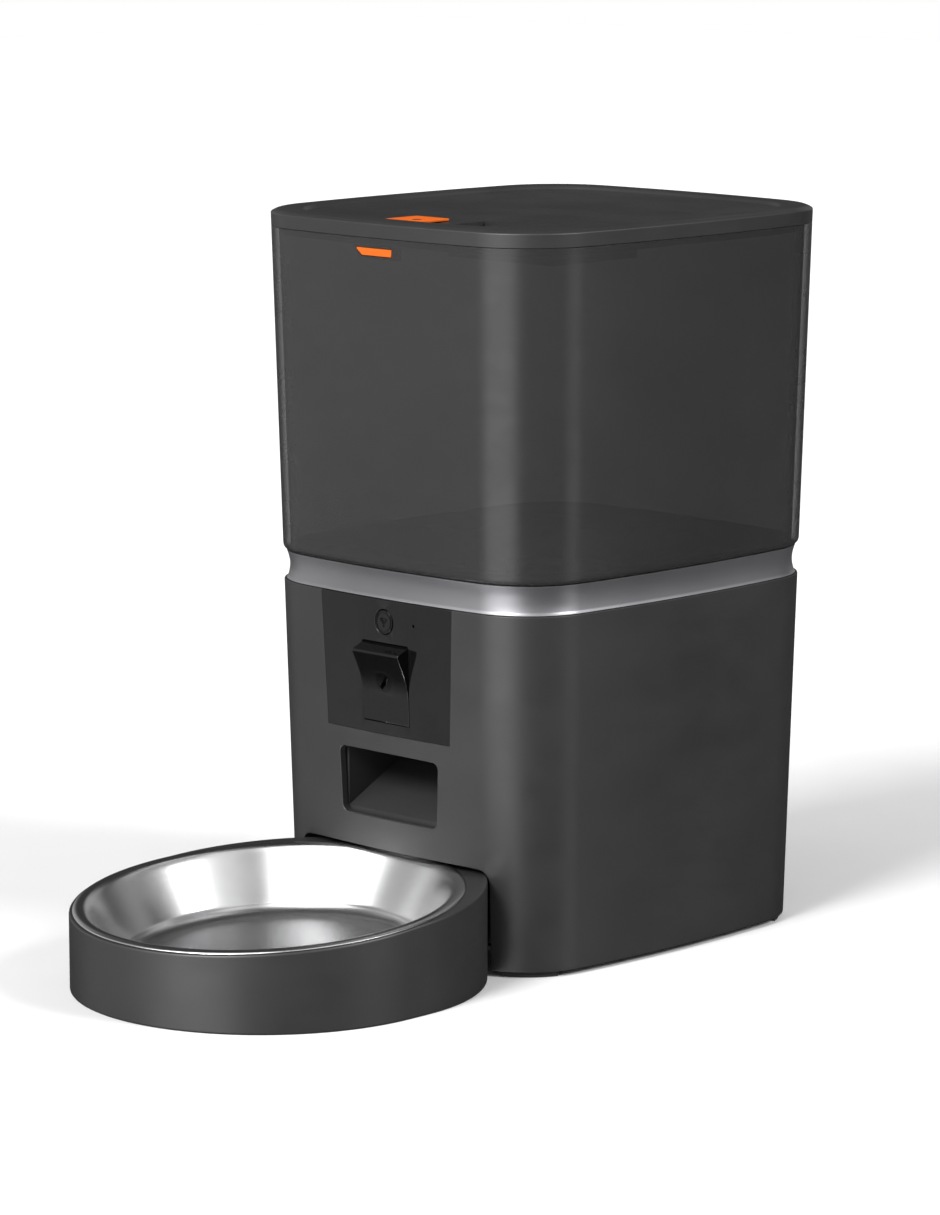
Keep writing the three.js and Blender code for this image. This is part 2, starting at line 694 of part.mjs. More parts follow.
// The camera pod's side view: flush with the body at its foot, then curving out to a sloping brow,
// with its foot and crown turned about the pivot so that they clear the pocket as it tilts.
function cameraProfile() {
  const pivot = CAMERA_PIVOT;
  const shape = new THREE.Shape();
  const angleAt = (y, z) => Math.atan2(z - pivot.z, y - pivot.y);
  const footZ = (y) => pivot.z - Math.sqrt(POD.foot ** 2 - (y - pivot.y) ** 2);
  const crownZ = (y) => pivot.z + Math.sqrt(POD.crown ** 2 - (y - pivot.y) ** 2);
  const toe = angleAt(POD.toeY, footZ(POD.toeY));
  const heel = angleAt(POD.backY, footZ(POD.backY));
  const crownFront = frontY(141.7);
  shape.moveTo(POD.toeY, footZ(POD.toeY));
  shape.absarc(pivot.y, pivot.z, POD.foot, toe, heel, false);
  shape.lineTo(POD.backY, crownZ(POD.backY));
  shape.absarc(
    pivot.y, pivot.z, POD.crown,
    angleAt(POD.backY, crownZ(POD.backY)), angleAt(crownFront, crownZ(crownFront)), false);
  shape.lineTo(frontY(139) - 6.5, 139);
  shape.lineTo(frontY(130.8) - 2.9, 130.8);
  shape.quadraticCurveTo(frontY(123.9), 123.9, frontY(117), 117);
  return shape;
}

// A point on the lens axis, this far behind the lens face.
function behindLens(distance) {
  const tilt = THREE.MathUtils.degToRad(LENS.tilt);
  return [0, LENS.y + distance * Math.cos(tilt), LENS.z + distance * Math.sin(tilt)];
}

function cameraHousing() {
  const { y, z } = CAMERA_PIVOT;
  return cut(
    prismX(cameraProfile(), -POD.half, POD.half),
    box(-12, 12, -97, -80, 108.5, 139.5),
    rodX(CAMERA_PIVOT.pinRadius + GAP, -30, 30, y, z, 12),
    rodBetween(LENS.radius + GAP, behindLens(-6), behindLens(8), 24),
  );
}

function cameraLens() {
  return rodBetween(LENS.radius, behindLens(0.3), behindLens(5.4), 24);
}

function cameraBoard() {
  return join(box(-11, 11, -90, -88.6, 112, 136), box(-4, 4, -90.8, -89.9, 121.8, 129.5));
}

function cameraPin() {
  return rodX(CAMERA_PIVOT.pinRadius, -18.6, 18.6, CAMERA_PIVOT.y, CAMERA_PIVOT.z, 16);
}

// ---- tank ---------------------------------------------------------------------------------------------------------
function foodTank() {
  const outer = tapered([
    [TANK_BOTTOM, 1.8], [176, 0.8], [177.2, 0.1], [178.5, 0], [SEAM, 0],
  ]);
  return cut(
    outer,
    tapered([[TANK_BOTTOM - 1, TANK_WALL], [SEAM + 1, TANK_WALL]]),
    prismY(catchShape(GAP), -120, -90),
  );
}

// The catch's face: a bar with one slanted end, on which the lid's tongue slides home.
function catchShape(grow) {
  const { bottom, top, left, slant, right } = CATCH;
  return polygon([
    [left + slant - grow, bottom - grow], [right - 0.4 + grow, bottom - grow],
    [right + grow, top + grow], [left - 2 * grow, top + grow],
  ]);
}

// An orange insert in the tank's front wall, flush outside and with a flange inside.
function tankCatch() {
  const face = prismY(catchShape(0), frontY(CATCH.top), -101.5);
  const flange = box(CATCH.left - 2, CATCH.right + 2, -102.1, -100.9, 312.8, 318.4);
  return join(face, flange);
}

// A funnel that closes the tank and leads down to a round throat over the portion wheel.
function tankFloor() {
  const throat = 45.6;
  const outer = tapered([
    [162.5, 44], [165.3, 44], [174.6, 8], [175.8, 8], [175.8, 3.1], [178, 3.1],
  ]);
  const slopes = tapered([[167.5, 44], [178.1, 4.5]]);
  const spigot = rodZ(48, 162, 167, 0, 0, 40);
  return cut(join(outer.subtract(slopes), spigot), rodZ(throat, 150, 180, 0, 0, 40));
}

// ---- lid ----------------------------------------------------------------------------------------------------------

// A ramp that lets a fingertip in beside the latch knob.
function fingerScoop() {
  const { x0, x1, y0, y1, depth } = SCOOP;
  const ramp = polygon([[x0, DISH_FLOOR - depth], [x1, DISH_FLOOR + 0.01], [x1, 331], [x0, 331]]);
  return prismY(ramp, y0, y1);
}

function lidShell() {
  const outer = tapered([
    [LID.bottom, 0.4], [323, 0], [327.8, 0], [328.9, 0.5], [329.6, 1.4], [HEIGHT, 2.8],
  ]);
  const dish = tapered([[DISH_FLOOR, 13.6], [HEIGHT + 0.2, 11.4]]);
  const cavity = tapered([[LID.skirtBottom - 2, 9], [LID.cavity, 9]]);
  const skirt = tapered([[LID.skirtBottom, 5.2], [323, 5.2]])
    .subtract(tapered([[LID.skirtBottom - 2, 7.2], [325, 7.2]]));
  const springAnchor = box(-21.5, -19.5, LATCH.y - 4, LATCH.y + 4, 319, 325);
  return cut(
    join(outer.subtract(cavity), skirt, springAnchor),
    dish,
    fingerScoop(),
    box(-4.4, 11.6, LATCH.y - 5.4, LATCH.y + 5.4, 324, 332),
  );
}

function lidGasket() {
  return tapered([[318.9, 3.2], [321.9, 3.2]]).subtract(tapered([[318, 4.9], [323, 4.9]]));
}

// A square knob on the lid, a stem through the slot, and an arm to the tongue behind the catch.
function latchSlider() {
  const { y, half, knobBottom, knobTop } = LATCH;
  const knob = box(-half, half, y - half, y + half, knobBottom, knobTop);
  const stem = box(-4, 4, y - 5, y + 5, 319, knobBottom + 0.5);
  const arm = box(-4, 4, -97, y, 319, 321);
  const drop = box(-10, 4, -97, -94.5, 314.1, 321);
  const tongue = box(-10, 4, -100.3, -94.5, 314.1, 317.4);
  return join(knob, stem, arm, drop, tongue);
}

// A fine coil spring lying along X that pulls the slider back to its locked end.
function latchSpring() {
  const turns = 5;
  const coil = new THREE.Curve();
  coil.getPoint = (t, target = new THREE.Vector3()) => {
    const angle = 2 * Math.PI * turns * t;
    return target.set(-18.4 + 13 * t, LATCH.y + 2 * Math.cos(angle), 321.8 + 2 * Math.sin(angle));
  };
  const section = new THREE.Shape();
  section.absarc(0, 0, 0.45, 0, 2 * Math.PI, false);
  const settings = { steps: 8 * turns, extrudePath: coil, curveSegments: 3 };
  return toSolid(new THREE.ExtrudeGeometry(section, settings));
}

function desiccantBox() {
  const { halfX, halfY, wall, bottom, top } = DESICCANT;
  const outer = box(-halfX, halfX, -halfY, halfY, bottom, top);
  const room = box(wall - halfX, halfX - wall, wall - halfY, halfY - wall, bottom - 1, top - wall);
  return outer.subtract(room);
}

function desiccantPack() {
  return box(-28.5, 28.5, -24.5, 24.5, 310.2, 320.5);
}

function desiccantCover() {
  const { halfX, halfY, bottom } = DESICCANT;
  const slots = [];
  for (let i = -3; i <= 3; i += 1) {
    slots.push(box(i * 8 - 1.5, i * 8 + 1.5, -20, 20, bottom - 5, bottom + 5));
  }
  return cut(box(-halfX, halfX, -halfY, halfY, bottom - 2.2, bottom - GAP), ...slots);
}

// ---- tray and bowl --------------------------------------------------------------------------------------------------
function trayOutline(inset) {
  const radius = TRAY.radius - inset;
  const shape = new THREE.Shape();
  shape.absarc(0, TRAY.rearY, radius, 0, Math.PI, false);
  shape.absarc(0, TRAY.frontY, radius, Math.PI, 2 * Math.PI, false);
  return shape;
}

// A block above the plane that slopes with the bowl's rim, this far below the rim.
function aboveRim(drop) {
  const geometry = new THREE.BoxGeometry(240, 260, 60);
  geometry.translate(0, 0, 30 - drop);
  geometry.rotateX(THREE.MathUtils.degToRad(BOWL.tilt));
  geometry.translate(0, BOWL.y, BOWL.z);
  return toSolid(geometry);
}

function feedingTray() {
  const body = roundPrism(trayOutline(0), 0, 60);
  const well = rodZ(81.5, 3.6, 60, 0, BOWL.y, 48);
  const behind = box(-90, 90, -140, -60, -1, 60);
  const hollow = cut(
    roundPrism(trayOutline(2.4), -1, 50).intersect(behind),
    rodZ(83.9, -2, 61, 0, BOWL.y, 48),
    aboveRim(3.6),
  );
  return cut(body, well, hollow, aboveRim(1.2));
}

function roundPrism(shape, z0, z1) {
  const settings = { depth: z1 - z0, bevelEnabled: false, curveSegments: 24 };
  const geometry = new THREE.ExtrudeGeometry(shape, settings);
  geometry.translate(0, 0, z0);
  return toSolid(geometry);
}

// The bowl is turned about its own axis: rolled edge, flat flange, sloping wall and flat floor.
function steelBowl() {
  const { radius, depth, floorRadius } = BOWL;
  const sheet = 0.9;
  return turned([
    [0, -depth - sheet], [floorRadius, -depth - sheet], [floorRadius + 3.6, 0.6 - depth],
    [floorRadius + 5.4, 5 - depth], [79.4, -3.4], [80.9, -sheet], [radius - 0.5, -sheet],
    [radius, -0.6], [radius - 0.2, 0], [80.6, 0], [78.4, -3], [floorRadius + 4.5, 5.2 - depth],
    [floorRadius + 2.8, 1.6 - depth], [floorRadius - 0.6, -depth], [0, -depth],
  ], 36);
}

// ---- assembly --------------------------------------------------------------------------------------------------------
const base = new THREE.Group();
base.add(
  piece('base_housing', 'housing', baseHousing()),
  piece('base_plate', 'innerPlastic', basePlate()),
  piece('foot_front_right', 'rubber', foot(1, -1)),
  piece('foot_front_left', 'rubber', foot(-1, -1)),
  piece('foot_rear_right', 'rubber', foot(1, 1)),
  piece('foot_rear_left', 'rubber', foot(-1, 1)),
  piece('battery_box', 'innerPlastic', batteryBox()),
  piece('battery_door', 'innerPlastic', batteryDoor()),
  piece('battery_contacts', 'metal', batteryContacts()),
  piece('top_deck', 'innerPlastic', topDeck()),
  piece('waist_band', 'band', waistBand()),
);
for (let i = 0; i < 3; i += 1) base.add(piece(`battery_${i + 1}`, 'battery', battery(i)));
BOSSES.forEach((place, i) => base.add(piece(`base_screw_${i + 1}`, 'metal', baseScrew(place))));
DECK_SCREWS.forEach((place, i) => base.add(piece(`deck_screw_${i + 1}`, 'metal', deckScrew(place))));

const drive = new THREE.Group();
drive.add(
  piece('dosing_chamber', 'whitePlastic', dosingChamber()),
  piece('shaft_bushing', 'brass', shaftBushing()),
  piece('portion_wheel', 'silicone', portionWheel()),
  piece('food_stirrer', 'innerPlastic', foodStirrer()),
  piece('rotor_shaft', 'metal', rodZ(SHAFT_RADIUS, 92, 153)),
  piece('driven_gear', 'whitePlastic', prismZ(
    gearShape(GEAR.wheelTeeth, SHAFT_RADIUS + GAP), GEAR.bottom, GEAR.top)),
  piece('motor_pinion', 'brass', motorPinion()),
  piece('drive_frame', 'innerPlastic', driveFrame()),
  piece('gear_motor', 'metal', gearMotor()),
  piece('motor_cable', 'rubber', motorCable()),
  piece('food_chute', 'innerPlastic', foodChute()),
);
drive.children.find((mesh) => mesh.name === 'motor_pinion').position.y = GEAR_DISTANCE;

const electronics = new THREE.Group();
electronics.add(
  piece('drop_sensor_left', 'board', dropSensor(-1)),
  piece('drop_sensor_right', 'board', dropSensor(1)),
  piece('main_board', 'board', mainBoard()),
  piece('button_board', 'board', buttonBoard()),
  piece('button_switch', 'innerPlastic', buttonSwitch()),
  piece('microphone', 'metal', microphone()),
  piece('status_light', 'whitePlastic', statusLight()),
  piece('speaker', 'innerPlastic', speaker()),
  piece('dc_jack', 'innerPlastic', dcJack()),
);

const front = new THREE.Group();
front.add(
  piece('front_panel', 'panel', frontPanel()),
  piece('wifi_button', 'panel', wifiButton()),
  piece('camera_cradle', 'innerPlastic', cameraCradle()),
  piece('camera_housing', 'panel', cameraHousing()),
  piece('camera_lens', 'lens', cameraLens()),
  piece('camera_board', 'board', cameraBoard()),
  piece('camera_pin', 'metal', cameraPin()),
);

const tank = new THREE.Group();
tank.add(
  piece('food_tank', 'tank', foodTank()),
  piece('tank_floor', 'tank', tankFloor()),
  piece('tank_catch', 'orange', tankCatch()),
);

const lid = new THREE.Group();
lid.add(
  piece('lid_shell', 'housing', lidShell()),
  piece('lid_gasket', 'silicone', lidGasket()),
  piece('latch_slider', 'orange', latchSlider()),
  piece('latch_spring', 'metal', latchSpring()),
  piece('desiccant_box', 'innerPlastic', desiccantBox()),
  piece('desiccant_pack', 'whitePlastic', desiccantPack()),
  piece('desiccant_cover', 'innerPlastic', desiccantCover()),
);

const bowl = piece('steel_bowl', 'steel', steelBowl());
bowl.position.set(0, BOWL.y, BOWL.z);
bowl.rotation.x = THREE.MathUtils.degToRad(BOWL.tilt);
const serving = new THREE.Group();
serving.add(piece('feeding_tray', 'housing', feedingTray()), bowl);

// The origin lies under the middle of the whole object.
const FRONT_END = TRAY.frontY - TRAY.radius;
const REAR_END = DEPTH_RATIO * halfWidth(327.8);
const petFeeder = new THREE.Group();
petFeeder.position.y = -(FRONT_END + REAR_END) / 2;
petFeeder.add(base, drive, electronics, front, tank, lid, serving);

export default petFeeder;
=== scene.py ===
"""Looks of the automatic pet feeder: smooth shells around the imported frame, and its studio."""

import json
import math

import bmesh
import bpy
from mathutils import Matrix, Vector


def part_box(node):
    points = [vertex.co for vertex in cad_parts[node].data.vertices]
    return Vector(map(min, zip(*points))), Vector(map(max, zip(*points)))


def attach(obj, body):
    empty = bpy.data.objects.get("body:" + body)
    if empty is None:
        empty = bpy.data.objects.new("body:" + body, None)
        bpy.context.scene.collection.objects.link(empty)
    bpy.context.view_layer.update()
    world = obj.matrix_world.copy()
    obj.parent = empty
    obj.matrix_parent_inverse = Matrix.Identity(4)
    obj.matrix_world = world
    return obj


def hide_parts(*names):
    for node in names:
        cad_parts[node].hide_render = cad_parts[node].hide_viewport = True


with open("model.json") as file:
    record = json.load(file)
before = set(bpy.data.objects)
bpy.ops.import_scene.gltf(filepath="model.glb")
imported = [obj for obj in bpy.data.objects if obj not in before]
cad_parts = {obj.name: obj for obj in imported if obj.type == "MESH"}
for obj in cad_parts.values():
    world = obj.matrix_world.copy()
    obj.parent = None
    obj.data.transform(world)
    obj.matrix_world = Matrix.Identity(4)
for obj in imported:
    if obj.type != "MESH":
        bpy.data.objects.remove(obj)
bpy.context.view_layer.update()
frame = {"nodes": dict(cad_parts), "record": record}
MM = 0.001

# ---- driving dimensions, taken from the frame ------------------------------------------------
BASE_LO, BASE_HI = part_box("base_housing")
TANK_LO, TANK_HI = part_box("food_tank")
BAND_LO, BAND_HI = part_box("waist_band")
PANEL_LO, PANEL_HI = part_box("front_panel")
TRAY_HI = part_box("feeding_tray")[1]

AXIS_Y = (TANK_LO.y + TANK_HI.y) / 2          # the body's upright axis
HALF_WIDTH = BASE_HI.x                        # half width at the base's top edge
DEPTH_RATIO = (TANK_HI.y - TANK_LO.y) / (TANK_HI.x - TANK_LO.x)
TAPER = (TANK_HI.x - BASE_HI.x) / (TANK_HI.z - BASE_HI.z)
CORNER = 35.3 * MM                            # corner radius at the base's top edge
BOW = 7.0 * MM                                # bulge of each side
WALL = 3.2 * MM
TANK_WALL = 2.8 * MM
SHARP = 32.0                                  # degrees at which two faces meet in a crisp edge

BAY_HALF = 59.2 * MM                          # the doorway of the tray's bay
BAY_TOP = 47.2 * MM
PANEL_BOTTOM = PANEL_LO.z
PANEL_TOP = PANEL_HI.z
PANEL_THICK = 1.6 * MM
BUTTON_RADIUS = 5.3 * MM
LENS_TILT = math.radians(13.6)
LENS_RADIUS = 4.6 * MM

# Millimetres from the body's axis and the floor, for at() and block().
BUTTON = (0, 152)                             # x and height, as are the next two
MICROPHONE = (18, 152.2)
STATUS_LIGHT = (-21.3, 152.8)
SPEAKER_Z = 125.5
BOSSES = ((74, -45), (-74, -45), (74, 60), (-74, 60))
DECK_SCREWS = ((-83.5, 0), (83.5, 0))
POD_PIVOT = (-93.0, 121.0)                    # y and height of the camera's pin
POD_HALF = 14.3
LATCH_Y = -80
KNOB_HALF = 10.3
BUTTON_Z = BUTTON[1] * MM

TRAY_RADIUS = TRAY_HI.x
WELL_RADIUS = 81.5 * MM
BOWL_TILT = math.radians(4.2)
TANK_ALPHA = 0.73                             # how much of the light the tank's wall stops


# ---- mesh helpers ----------------------------------------------------------------------------
def mesh_object(name, verts, faces, sharp=SHARP):
    mesh = bpy.data.meshes.new(name)
    mesh.from_pydata([tuple(v) for v in verts], [], faces)
    mesh.update()
    return finished(mesh, name, sharp)


def finished(mesh, name, sharp):
    """An object from this mesh, with outward faces, smooth but for edges sharper than this."""
    form = bmesh.new()
    form.from_mesh(mesh)
    bmesh.ops.remove_doubles(form, verts=form.verts, dist=1e-7)
    bmesh.ops.recalc_face_normals(form, faces=form.faces)
    form.to_mesh(mesh)
    form.free()
    mesh.shade_smooth()
    mesh.set_sharp_from_angle(angle=math.radians(sharp))
    obj = bpy.data.objects.new(name, mesh)
    bpy.context.scene.collection.objects.link(obj)
    return obj


def bridge(loops, closed):
    """Faces between loops of equal length, listed by their first vertex's number."""
    count = len(loops[0])
    faces = []
    pairs = list(zip(range(len(loops) - 1), range(1, len(loops))))
    if closed:
        pairs.append((len(loops) - 1, 0))
    for lower, upper in pairs:
        for i in range(count):
            j = (i + 1) % count
            faces.append((lower * count + i, lower * count + j, upper * count + j, upper * count + i))
    return faces


def skin(name, loops, closed=False, sharp=SHARP):
    """A solid through a stack of loops: a tube closed on itself, or a body capped at both ends."""
    count = len(loops[0])
    verts = [v for loop in loops for v in loop]
    faces = bridge(loops, closed)
    if not closed:
        for k, loop in ((0, loops[0]), (len(loops) - 1, loops[-1])):
            middle = sum((Vector(v) for v in loop), Vector()) / count
            verts.append(middle)
            for i in range(count):
                faces.append((k * count + i, k * count + (i + 1) % count, len(verts) - 1))
    return mesh_object(name, verts, faces, sharp)


def apply_modifiers(obj):
    """The object's mesh after its modifiers, which are then removed."""
    graph = bpy.context.evaluated_depsgraph_get()
    mesh = bpy.data.meshes.new_from_object(obj.evaluated_get(graph))
    mesh.name = obj.name
    obj.modifiers.clear()
    obj.data = mesh
    mesh.shade_smooth()
    mesh.set_sharp_from_angle(angle=math.radians(SHARP))
    return obj


def boolean(obj, tools, operation="DIFFERENCE"):
    """Cuts obj by, joins it to or keeps what it shares with each tool, and removes the tools."""
    for tool in tools:
        step = obj.modifiers.new("cut", "BOOLEAN")
        step.operation = operation
        step.solver = "EXACT"
        step.object = tool
    bpy.context.view_layer.update()
    apply_modifiers(obj)
    for tool in tools:
        bpy.data.objects.remove(tool)
    return obj


def bevel(obj, width, segments, angle):
    """Rounds the edges sharper than this angle, which is in degrees."""
    step = obj.modifiers.new("bevel", "BEVEL")
    step.width = width
    step.segments = segments
    step.limit_method = "ANGLE"
    step.angle_limit = math.radians(angle)
    step.use_clamp_overlap = True
    bpy.context.view_layer.update()
    return apply_modifiers(obj)


def box_solid(name, low, high):
    verts = [(x, y, z) for z in (low[2], high[2]) for y in (low[1], high[1]) for x in (low[0], high[0])]
    faces = [(0, 1, 3, 2), (4, 5, 7, 6), (0, 1, 5, 4), (2, 3, 7, 6), (0, 2, 6, 4), (1, 3, 7, 5)]
    return mesh_object(name, verts, faces)


def arc(cx, cy, radius, start, end, steps):
    """Points along an arc, without its last one."""
    angles = [start + (end - start) * i / steps for i in range(steps)]
    return [(cx + radius * math.cos(t), cy + radius * math.sin(t)) for t in angles]


def rounded(corners, steps=5, closed=True):
    """A profile from (u, v, radius) corners, each with its corner rounded off."""
    points = []
    count = len(corners)
    for i, (u, v, radius) in enumerate(corners):
        here = Vector((u, v))
        if radius <= 0 or (not closed and i in (0, count - 1)):
            points.append((u, v))
            continue
        before = Vector(corners[i - 1][:2]) - here
        after = Vector(corners[(i + 1) % count][:2]) - here
        half = before.angle(after) / 2
        reach = min(radius / math.tan(half), before.length * 0.49, after.length * 0.49)
        radius = reach * math.tan(half)
        centre = here + (before.normalized() + after.normalized()).normalized() * (radius / math.sin(half))
        first = here + before.normalized() * reach - centre
        last = here + after.normalized() * reach - centre
        turn = first.angle_signed(last)
        for k in range(steps + 1):
            t = -turn * k / steps
            c, s = math.cos(t), math.sin(t)
            points.append((centre.x + first.x * c - first.y * s, centre.y + first.x * s + first.y * c))
    return points


def lathe(name, profile, segments, place, sharp=SHARP):
    """A solid of revolution about Z from (radius, height) points, then moved by place."""
    open_profile = profile[0][0] == 0 and profile[-1][0] == 0
    middle = profile[1:-1] if open_profile else profile
    angles = [2 * math.pi * i / segments for i in range(segments)]
    loops = [[place @ Vector((radius * math.cos(t), radius * math.sin(t), height)) for t in angles]
             for radius, height in middle]
    return skin(name, loops, closed=not open_profile, sharp=sharp)


# ---- the body's form -------------------------------------------------------------------------
def quarter_outline(a, b, corner, bow):
    """A quarter of the rounded square from (a, 0) to (0, b), as tangent arcs."""
    side_steps, corner_steps = 10, 16
    side_radius = (b * b + bow * bow) / (2 * bow)
    end_radius = (a * a + bow * bow) / (2 * bow)
    side = Vector((a - side_radius, 0))
    end = Vector((0, b - end_radius))
    reach_side = side_radius - corner
    reach_end = end_radius - corner
    span = end - side
    distance = span.length
    along = (reach_side**2 - reach_end**2 + distance**2) / (2 * distance)
    across = math.sqrt(reach_side**2 - along**2)
    span.normalize()
    middle = side + span * along
    normal = Vector((span.y, -span.x))
    centre = max((middle + normal * across, middle - normal * across), key=lambda p: p.x + p.y)
    first = math.atan2(centre.y - side.y, centre.x - side.x)
    second = math.atan2(centre.y - end.y, centre.x - end.x)
    points = arc(side.x, side.y, side_radius, 0, first, side_steps)
    points += arc(centre.x, centre.y, corner, first, second, corner_steps)
    points += arc(end.x, end.y, end_radius, second, math.pi / 2, side_steps)
    return points + [(0, b)]


def full_outline():
    quarter = quarter_outline(HALF_WIDTH, HALF_WIDTH * DEPTH_RATIO, CORNER, BOW)
    half = quarter + [(-x, y) for x, y in reversed(quarter[:-1])]
    return half + [(x, -y) for x, y in reversed(half[1:-1])]


OUTLINE = full_outline()


def half_width(z):
    return HALF_WIDTH + TAPER * (z - BASE_HI.z)


def body_loop(z, inset):
    """The body's outline at this height, set in from its surface."""
    scale_x = (half_width(z) - inset) / HALF_WIDTH
    scale_y = (DEPTH_RATIO * half_width(z) - inset) / (DEPTH_RATIO * HALF_WIDTH)
    return [Vector((x * scale_x, AXIS_Y + y * scale_y, z)) for x, y in OUTLINE]


def body_tube(name, profile):
    """A ring-shaped shell from a closed (inset, z) profile."""
    return skin(name, [body_loop(z, inset) for inset, z in profile], closed=True)


def body_block(name, profile):
    """A solid from an open (inset, z) profile, capped at both ends."""
    return skin(name, [body_loop(z, inset) for inset, z in profile])


def front_y(x, z):
    """Where the body's front surface is at this x and height."""
    scale = half_width(z) / HALF_WIDTH
    radius = (HALF_WIDTH**2 + BOW**2) / (2 * BOW)
    reach = math.sqrt(radius**2 - (x / scale) ** 2)
    return AXIS_Y - (HALF_WIDTH * DEPTH_RATIO - radius + reach) * scale


def front_tool(name, outline, stations):
    """A plug through the front wall. outline(grow) gives (x, z) points, and stations are
    (depth behind the front surface, grow)."""
    loops = []
    for depth, grow in stations:
        loops.append([Vector((x, front_y(x, z) + depth, z)) for x, z in outline(grow)])
    return skin(name, loops)


def trapezium(bottom, top, half_bottom, half_top, radius):
    """An outline with rounded corners that grows evenly by a given amount."""
    def outline(grow):
        corner = max(radius + grow, 0.02 * MM)
        corners = [
            (-half_bottom - grow, bottom - grow, corner), (half_bottom + grow, bottom - grow, corner),
            (half_top + grow, top + grow, corner), (-half_top - grow, top + grow, corner),
        ]
        return rounded(corners, steps=6)
    return outline


def circle(x, z, radius, steps=48):
    """A round outline that grows evenly by a given amount."""
    def outline(grow):
        return arc(x, z, radius + grow, 0, 2 * math.pi, steps)
    return outline


def hole_stations(edge, depth):
    """A hole with its rim eased by a small quarter round."""
    ease = [(edge * (1 - math.cos(t)), edge * (1 - math.sin(t))) for t in (0, 0.4, 0.8, 1.2, math.pi / 2)]
    return [(-3 * MM, edge)] + ease + [(depth, 0)]


# ---- pieces of the base ----------------------------------------------------------------------
def at(x, y, z):
    """A point given in millimetres from the body's axis and the floor."""
    return Vector((x * MM, AXIS_Y + y * MM, z * MM))


BOWL_CENTRE = at(0, -171.5, 40.5)
KNOB_DIMPLE = at(2.8, -82.8, 329.5)             # a dimple in the latch's knob, its floor painted dark as painted shade


def block(name, x0, x1, y0, y1, z0, z1):
    return box_solid(name, at(x0, y0, z0), at(x1, y1, z1))


def prism_z(name, outline, z0, z1):
    return skin(name, [[at(x, y, z) for x, y in outline] for z in (z0, z1)])


def rod(name, start, end, radius, steps=40):
    """A round rod between two points, for bores and pins."""
    span = end - start
    turn = span.to_track_quat("Z", "Y").to_matrix().to_4x4()
    place = Matrix.Translation(start) @ turn
    return lathe(name, [(0, 0), (radius, 0), (radius, span.length), (0, span.length)], steps, place)


def bay_outline(grow):
    half, top, corner = BAY_HALF + grow, BAY_TOP + grow, 5.5 * MM + grow
    return rounded([(-half, -4 * MM, 0), (half, -4 * MM, 0), (half, top, corner), (-half, top, corner)], 6)


panel_outline = trapezium(PANEL_BOTTOM, PANEL_TOP + 3 * MM, 38.4 * MM, 41.13 * MM, 0.05 * MM)
outlet_outline = trapezium(62.3 * MM, 92.2 * MM, 29.7 * MM, 31 * MM, 3.2 * MM)
pocket_outline = trapezium(106.2 * MM, 142.6 * MM, 14.6 * MM, 14.6 * MM, 0.8 * MM)


def speaker_slots():
    """Five level slots through the rear wall, the middle one the longest."""
    slots = []
    end = 0.9 * MM
    for i in range(-2, 3):
        reach = (12 - abs(i) * 2) * MM - end
        z = (SPEAKER_Z + i * 4.5) * MM
        outline = arc(reach, z, end, -math.pi / 2, math.pi / 2, 8)
        outline += [(reach, z + end)]
        outline += arc(-reach, z, end, math.pi / 2, 3 * math.pi / 2, 8)
        outline += [(-reach, z - end)]
        loops = [[Vector((x, AXIS_Y + y * MM, v)) for x, v in outline] for y in (80, 112)]
        slots.append(skin(f"slot_{i}", loops))
    return slots


def rectangle(half_left, half_right, bottom, top):
    """A plain (x, z) outline in millimetres, for a tool that doesn't grow."""
    corners = [(-half_left, bottom), (half_right, bottom), (half_right, top), (-half_left, top)]
    return lambda grow: [(x * MM, z * MM) for x, z in corners]


def housing_shell():
    top, bottom = BASE_HI.z, BASE_LO.z
    return body_tube("housing_shell", [
        (1.1 * MM, bottom), (0.45 * MM, bottom + 0.12 * MM), (0.12 * MM, bottom + 0.45 * MM),
        (0, bottom + 1.1 * MM), (0, 60 * MM), (0, 110 * MM), (0, top - 0.5 * MM),
        (0.15 * MM, top - 0.15 * MM), (0.5 * MM, top), (WALL, top), (WALL, 110 * MM), (WALL, 60 * MM),
        (WALL, bottom),
    ])


def housing_fittings():
    """What stands on the shell's inside: bay liner, deck rests, board rails and screw bosses."""
    liner = front_tool("bay_liner", rectangle(62, 62, 2.8, 51.6), [(1.2 * MM, 0), (30.2 * MM, 0)])
    rests = [
        block("rest_left", -90, -79, -20, 20, 150, 156.1),
        block("rest_right", 79, 90, -20, 20, 150, 156.1),
        block("rest_rear", -20, 20, 90, 100, 150, 156.1),
    ]
    rails = [
        block("rail_front", -86, -69, -43, -40.3, 56, 122),
        block("rail_rear", -86, -69, 40.3, 43, 56, 122),
    ]
    bosses = [rod(f"boss_{i}", at(x, y, 5.1), at(x, y, 16), 5 * MM, 24)
              for i, (x, y) in enumerate(BOSSES)]
    return [liner] + rests + rails + bosses


def front_bore(name, place, radius, steps):
    """A round bore through the front wall at this x and height."""
    x, z = place
    return rod(name, at(x, -120, z), at(x, -85, z), radius, steps)


